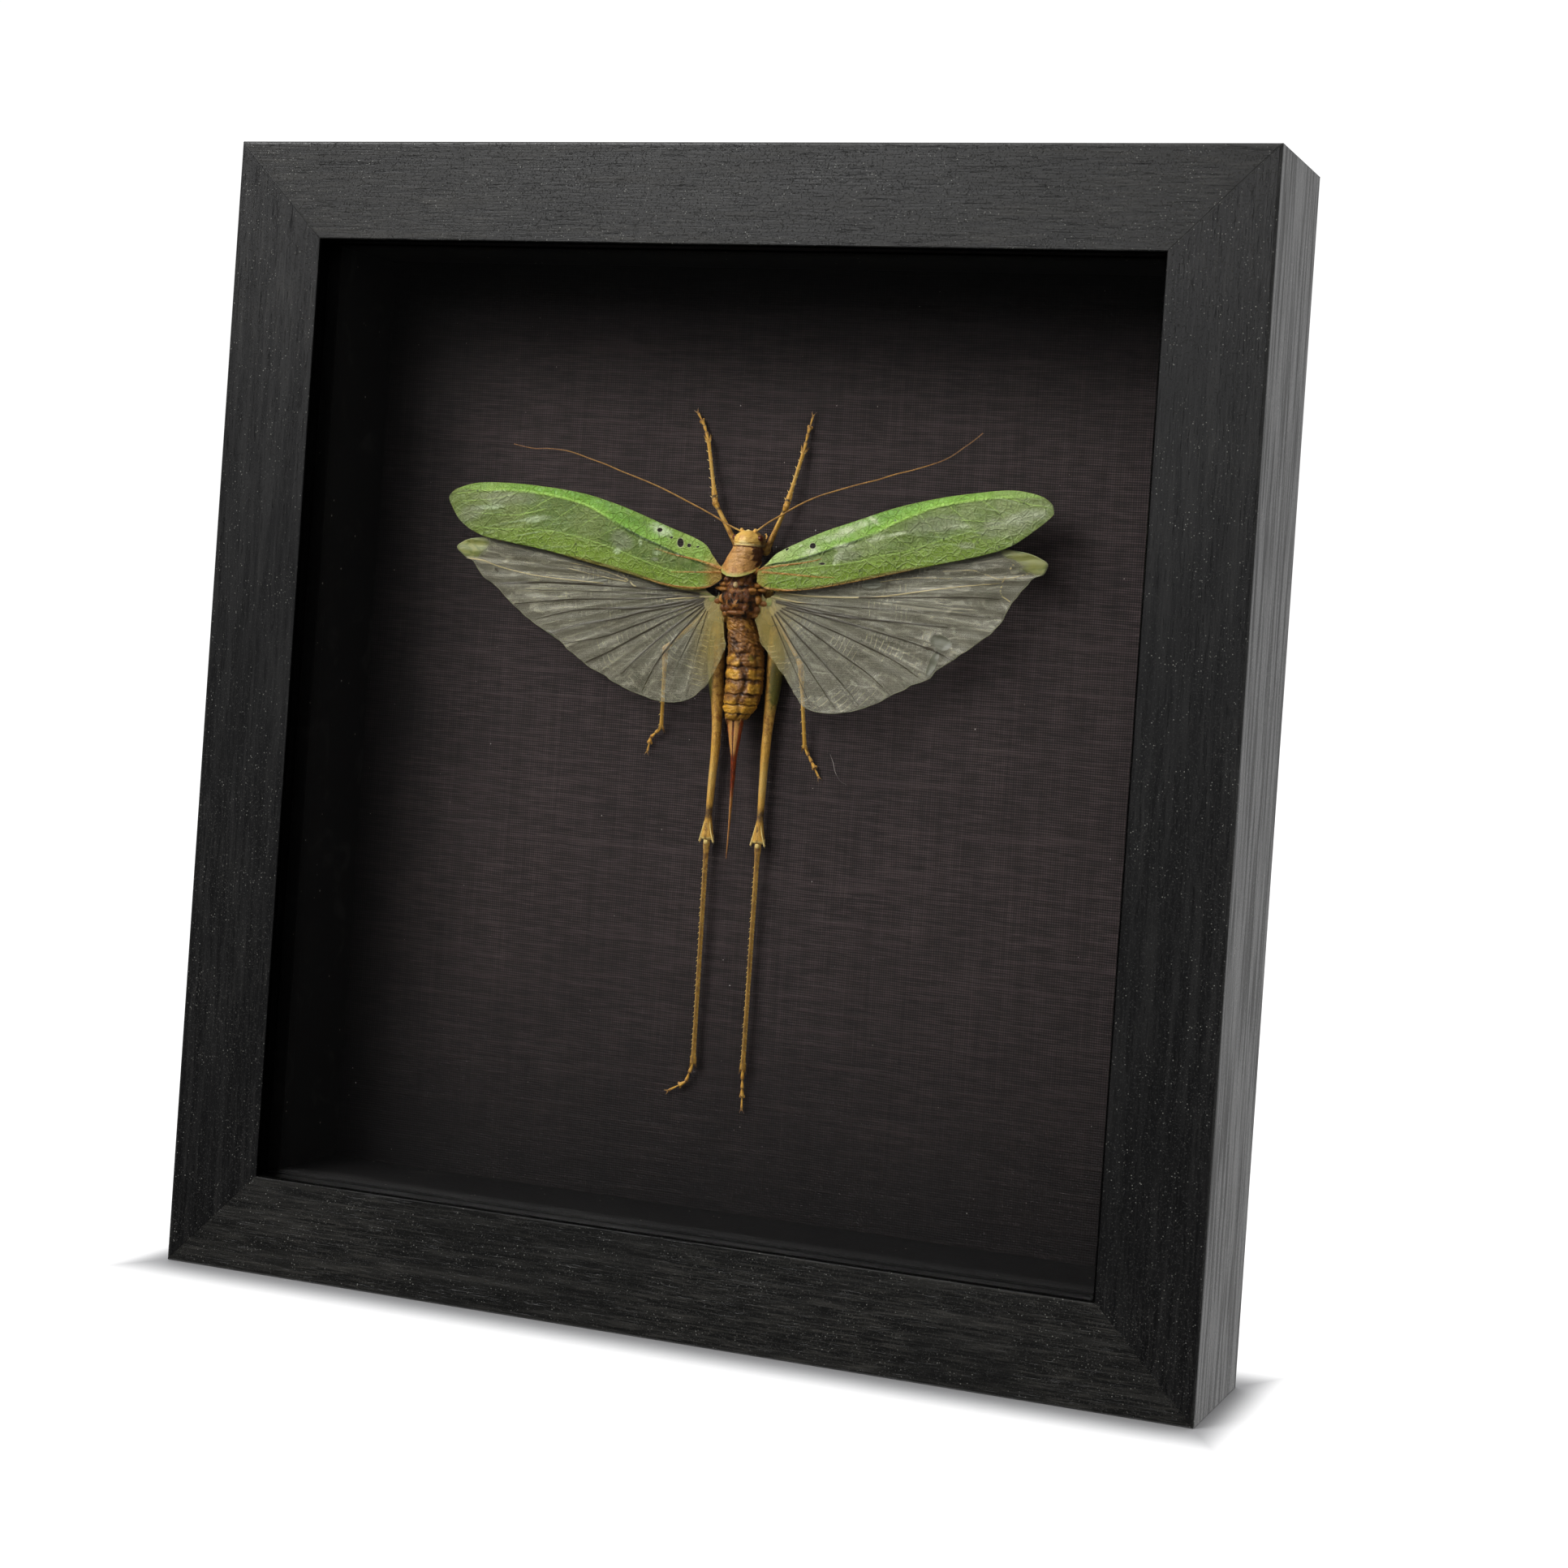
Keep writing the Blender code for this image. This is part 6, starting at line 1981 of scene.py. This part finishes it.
@dataclass
class Case:
    """The glazed wooden case: mitred bars, glass, spacers, board, back and hardware."""

    bar_wall: float = 0.013  # thickness of a bar behind its lip
    lip_depth: float = 0.004
    mitre_wall: float = 0.00026
    inset: float = 0.00005  # how far the glue lies under the wood's surface
    eased: float = 0.00055  # radius of the bars' eased edges

    def build(self) -> None:
        """Finish the carried-over solids, then fill the mitres between them."""
        across = StainedWood(
            "stained_wood_rails", handled=1.4, stain=seen(23, 23, 22), fibre=seen(70, 68, 63)
        )
        upright = StainedWood("stained_wood_stiles", Grain.UPRIGHT, handled=0.75)
        card, steel = BlackCard("black_card"), PlatedMetal("zinc_plate")
        brass = PlatedMetal("brass_plate", bright=seen(206, 168, 92), dull=seen(132, 98, 48))
        finishes = {
            "frame_top_rail": across, "frame_bottom_rail": across,
            "frame_left_stile": upright, "frame_right_stile": upright,
            "glass_pane": ClearGlass("clear_glass"), "mount_board": WovenCloth("black_book_cloth"),
            "back_panel": FibreBoard("dark_hardboard"), "sawtooth_hanger": steel,
            "hanger_nail_left": brass, "hanger_nail_right": brass,
        }
        for side in ("top", "bottom", "left", "right"):
            finishes[f"spacer_{side}"] = card
        for number in range(1, 9):
            finishes[f"retainer_tab_{number}"] = steel
        for name, finish in finishes.items():
            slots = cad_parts[name].data.materials
            slots.clear()
            slots.append(finish.material())
        log.info("case: %d solids finished", len(finishes))
        self.mitre_glue(across)

    def mitre_glue(self, wood: Finish) -> None:
        """Fill each mitre with a thin strip of stained glue, just under the surface.

        The section of the bar is laid in the corner's 45 degree plane, and then moved
        half the strip's thickness each way square to that plane.
        """
        e, r = self.inset, self.eased
        front, back = CASE_LOW.y, CASE_HIGH.y
        lip = front + self.lip_depth
        face = BAR_FACE
        sections = (
            ((e, front + r), (r / 3, front + r / 3), (r, front + e), (face - r, front + e),
             (face - r / 3, front + r / 3), (face - e, front + r), (face - e, lip - e), (e, lip)),
            ((e, lip), (self.bar_wall - e, lip), (self.bar_wall - e, back - e), (r, back - e),
             (e, back - r)),
        )
        half_width, half_height = CASE_HIGH.x, (CASE_HIGH.z - CASE_LOW.z) / 2
        corners = {"top_left": (-1, 1), "top_right": (1, 1), "bottom_left": (-1, -1),
                   "bottom_right": (1, -1)}
        for name, (across, up) in corners.items():
            normal = np.array([across, 0.0, -up]) / math.sqrt(2)
            parts = []
            for section in sections:
                inset, y = np.array(section).T
                middle = np.stack([across * (half_width - inset), y,
                                   half_height + up * (half_height - inset)], -1)
                offset = normal * self.mitre_wall / 2
                parts.append(skin(np.stack([middle - offset, middle + offset])))
            add_piece(f"mitre_glue_{name}", join(parts), wood, sharp=30)


@dataclass
class BoardLitter:
    """Dust, chips and one fine hair that lie on the cloth and the bottom spacer."""

    flecks: int = 260
    smallest: float = 0.035
    largest: float = 0.14
    margin: float = 0.6  # mm kept free beside the spacers
    hair: tuple[Point, ...] = (
        (17.9, 0.15, 107.2), (18.7, 0.3, 105.6), (19.3, 0.45, 103.9), (20.3, 0.3, 102.4),
        (21.6, 0.1, 101.7),
    )
    hair_radius: float = 0.03

    def build(self) -> None:
        """Scatter flattened eight-sided flecks, and lay the hair."""
        rng = np.random.default_rng(71)
        low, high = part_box("spacer_bottom")[1].z / MM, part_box("spacer_top")[0].z / MM
        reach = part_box("spacer_right")[0].x / MM - self.margin
        x = rng.uniform(-reach, reach, self.flecks)
        z = rng.uniform(low + self.margin, high - self.margin, self.flecks)
        size = self.smallest + (self.largest - self.smallest) * rng.random(self.flecks) ** 4
        corners = np.array([
            (1, 0, 0), (0, 0, 1), (-1, 0, 0), (0, 0, -1), (0, 0.5, 0), (0, -0.5, 0),
        ])
        jitter = rng.uniform(0.6, 1.5, (self.flecks, 6, 3))
        points = corners * jitter * size[:, None, None]
        points = points + np.stack([x, size * 0.75 + 0.01, z], -1)[:, None]
        ring = ((0, 1), (1, 2), (2, 3), (3, 0))
        pattern = np.array([(a, b, 4) for a, b in ring] + [(b, a, 5) for a, b in ring])
        tris = (pattern + 6 * np.arange(self.flecks)[:, None, None]).reshape(-1, 3)
        flat = points.reshape(-1, 3)
        shape = Shape(in_case(*flat.T), np.empty((0, 4), int), tris).outward()
        dust = PaleDust("pale_dust")
        add_piece("board_dust", shape, dust, sharp=20)
        hair = cord(self.hair, 60, self.hair_radius, self.hair_radius, 6)
        add_piece("loose_hair", hair, dust)


@dataclass
class GlueDab:
    """The dab that holds the thorax to the board."""

    radius: float = 2.6
    height: float = 1.05
    middle: Point = (BODY_X, 135.5)
    rings: int = 20
    sides: int = 64

    def build(self) -> None:
        """A low dome whose radius wavers round the turn."""
        turn = (np.arange(self.sides) * 2 * math.pi / self.sides)[None]
        rise = np.linspace(0, 1, self.rings)[:, None]
        waver = 1 + 0.06 * np.cos(3 * turn + 0.6) + 0.04 * np.cos(5 * turn)
        radius = self.radius * waver * (1 - 0.45 * rise**2.5)
        h = 0.02 + self.height * np.sin(rise * math.pi / 2)
        x = self.middle[0] + radius * np.cos(turn)
        z = self.middle[1] + radius * np.sin(turn)
        shape = skin(in_case(x, h, z))
        add_piece("thorax_glue", shape, AmberGlue("amber_glue"), "mounting_glue")


# --- Studio ---------------------------------------------------------------------------


@dataclass
class Studio:
    """A white sweep, soft light from above and the left, and the photo's camera."""

    floor_reach: float = 12.0
    paper: Colour = seen(192, 192, 194)
    glow: float = 1.8  # strength of the white that the far floor fades into
    glow_share: float = 0.58
    lens: float = 65.92
    shift: Point = (-0.01256, -0.0779)
    stand: Point = (0.20503, -0.49379, 0.12715)
    right: Point = (0.93124, 0.35784, 0.06891)
    up: Point = (-0.06635, -0.01944, 0.99761)
    back: Point = (0.35833, -0.93358, 0.00564)
    # Name, place, width and height, and power in watts
    lamps: tuple[tuple[str, Point, Point, float], ...] = (
        ("key_light", (-0.43, -0.62, 0.66), (0.44, 0.3), 4.4),
        ("strip_light", (-0.40, -1.06, 0.52), (0.5, 0.16), 1.6),
        ("fill_light", (0.85, -0.75, 0.5), (0.5, 0.5), 0.9),
    )

    def floor(self) -> None:
        """A wide matt floor under the case, which the camera sees fade to white round it; close
        round the case its glow is held back, which paints shade.
        """
        reach = self.floor_reach
        mesh = bpy.data.meshes.new("studio_floor")
        corners = [(-reach, -reach, 0), (reach, -reach, 0), (reach, reach, 0), (-reach, reach, 0)]
        mesh.from_pydata(corners, [], [(0, 1, 2, 3)])
        floor = bpy.data.objects.new("studio_floor", mesh)
        bpy.context.scene.collection.objects.link(floor)
        paper = bpy.data.materials.new("white_paper")
        recipe = Recipe(paper, "OutputMaterial")
        fibres = recipe.noise(recipe.place(), 900.0, 3.0)
        matt = recipe.coat({
            "Base Color": self.paper, "Roughness": 0.8 + 0.1 * fibres,
            "Specular IOR Level": 0.2,
        })
        glow = recipe.node("Emission", inputs={"Strength": self.glow}).outputs[0]
        sight = Field(recipe, recipe.node("LightPath").outputs["Is Camera Ray"])
        x, y, _ = recipe.axes(recipe.place())
        # Painted shade: no glow within about 9 mm of the case's sides and 17 mm of its front and
        # back, so a dark band lies round its foot.
        beside = (x.size() - CASE_HIGH.x).rise(0.0, 0.009)
        clear = beside.most((y.size() - CASE_HIGH.y).rise(0.0, 0.017))
        lit = sight * (self.glow_share * clear)
        both = recipe.node("MixShader", inputs={0: lit, 1: matt, 2: glow}).outputs[0]
        recipe.tree.links.new(both, recipe.output.inputs["Surface"])
        mesh.materials.append(paper)
        floor.visible_glossy = floor.visible_transmission = False

    def sky(self) -> None:
        """White behind and above, dim on the camera's side so that the glass stays clear."""
        world = bpy.data.worlds.new("white_sweep")
        bpy.context.scene.world = world
        recipe = Recipe(world, "OutputWorld")
        direction = recipe.node("TexCoord").outputs["Generated"]
        _, away, high = recipe.axes(direction)
        sweep = 0.012 + away.rise(-0.15, 0.5) * 0.99 + high.rise(0.35, 0.95) * 0.3
        sight = Field(recipe, recipe.node("LightPath").outputs["Is Camera Ray"])
        strength = sight * 1.05 + (1.0 - sight) * sweep
        shade = recipe.node("Background", inputs={"Color": (1, 1, 1, 1), "Strength": strength})
        recipe.tree.links.new(shade.outputs[0], recipe.output.inputs["Surface"])

    def lamp(self, name: str, place: Point, size: Point, power: float) -> None:
        """A soft box that faces the middle of the case."""
        light = bpy.data.lights.new(name, "AREA")
        light.shape, light.energy = "RECTANGLE", power
        light.size, light.size_y = size
        lamp = bpy.data.objects.new(name, light)
        aim = (CASE_LOW + CASE_HIGH) / 2 - Vector(place)
        lamp.location = place
        lamp.rotation_euler = aim.to_track_quat("-Z", "Y").to_euler()
        bpy.context.scene.collection.objects.link(lamp)

    def camera(self) -> None:
        """The camera, from its three axes and its place as the photo's corners give them."""
        data = bpy.data.cameras.new("photo_camera")
        data.lens, data.sensor_width = self.lens, 36.0
        data.shift_x, data.shift_y = self.shift
        data.clip_start = 0.01
        camera = bpy.data.objects.new("photo_camera", data)
        axes = np.eye(4)
        axes[:3, 0], axes[:3, 1], axes[:3, 2] = self.right, self.up, self.back
        axes[:3, 3] = self.stand
        camera.matrix_world = Matrix(axes.tolist())
        bpy.context.scene.collection.objects.link(camera)
        bpy.context.scene.camera = camera

    def build(self) -> None:
        """Set up the floor, the lights, the colours and the camera."""
        self.floor()
        self.sky()
        for lamp in self.lamps:
            self.lamp(*lamp)
        bpy.context.scene.view_settings.view_transform = "Standard"
        self.camera()
        log.info("studio: floor, sky, %d lights and camera", len(self.lamps))


def main() -> None:
    """Dress the case, make the insect and set up the studio."""
    logging.basicConfig(level=logging.INFO, format="%(message)s")
    for part in (Case(), BoardLitter(), GlueDab(), Katydid(), Studio()):
        part.build()
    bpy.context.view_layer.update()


if __name__ == "__main__":
    main()
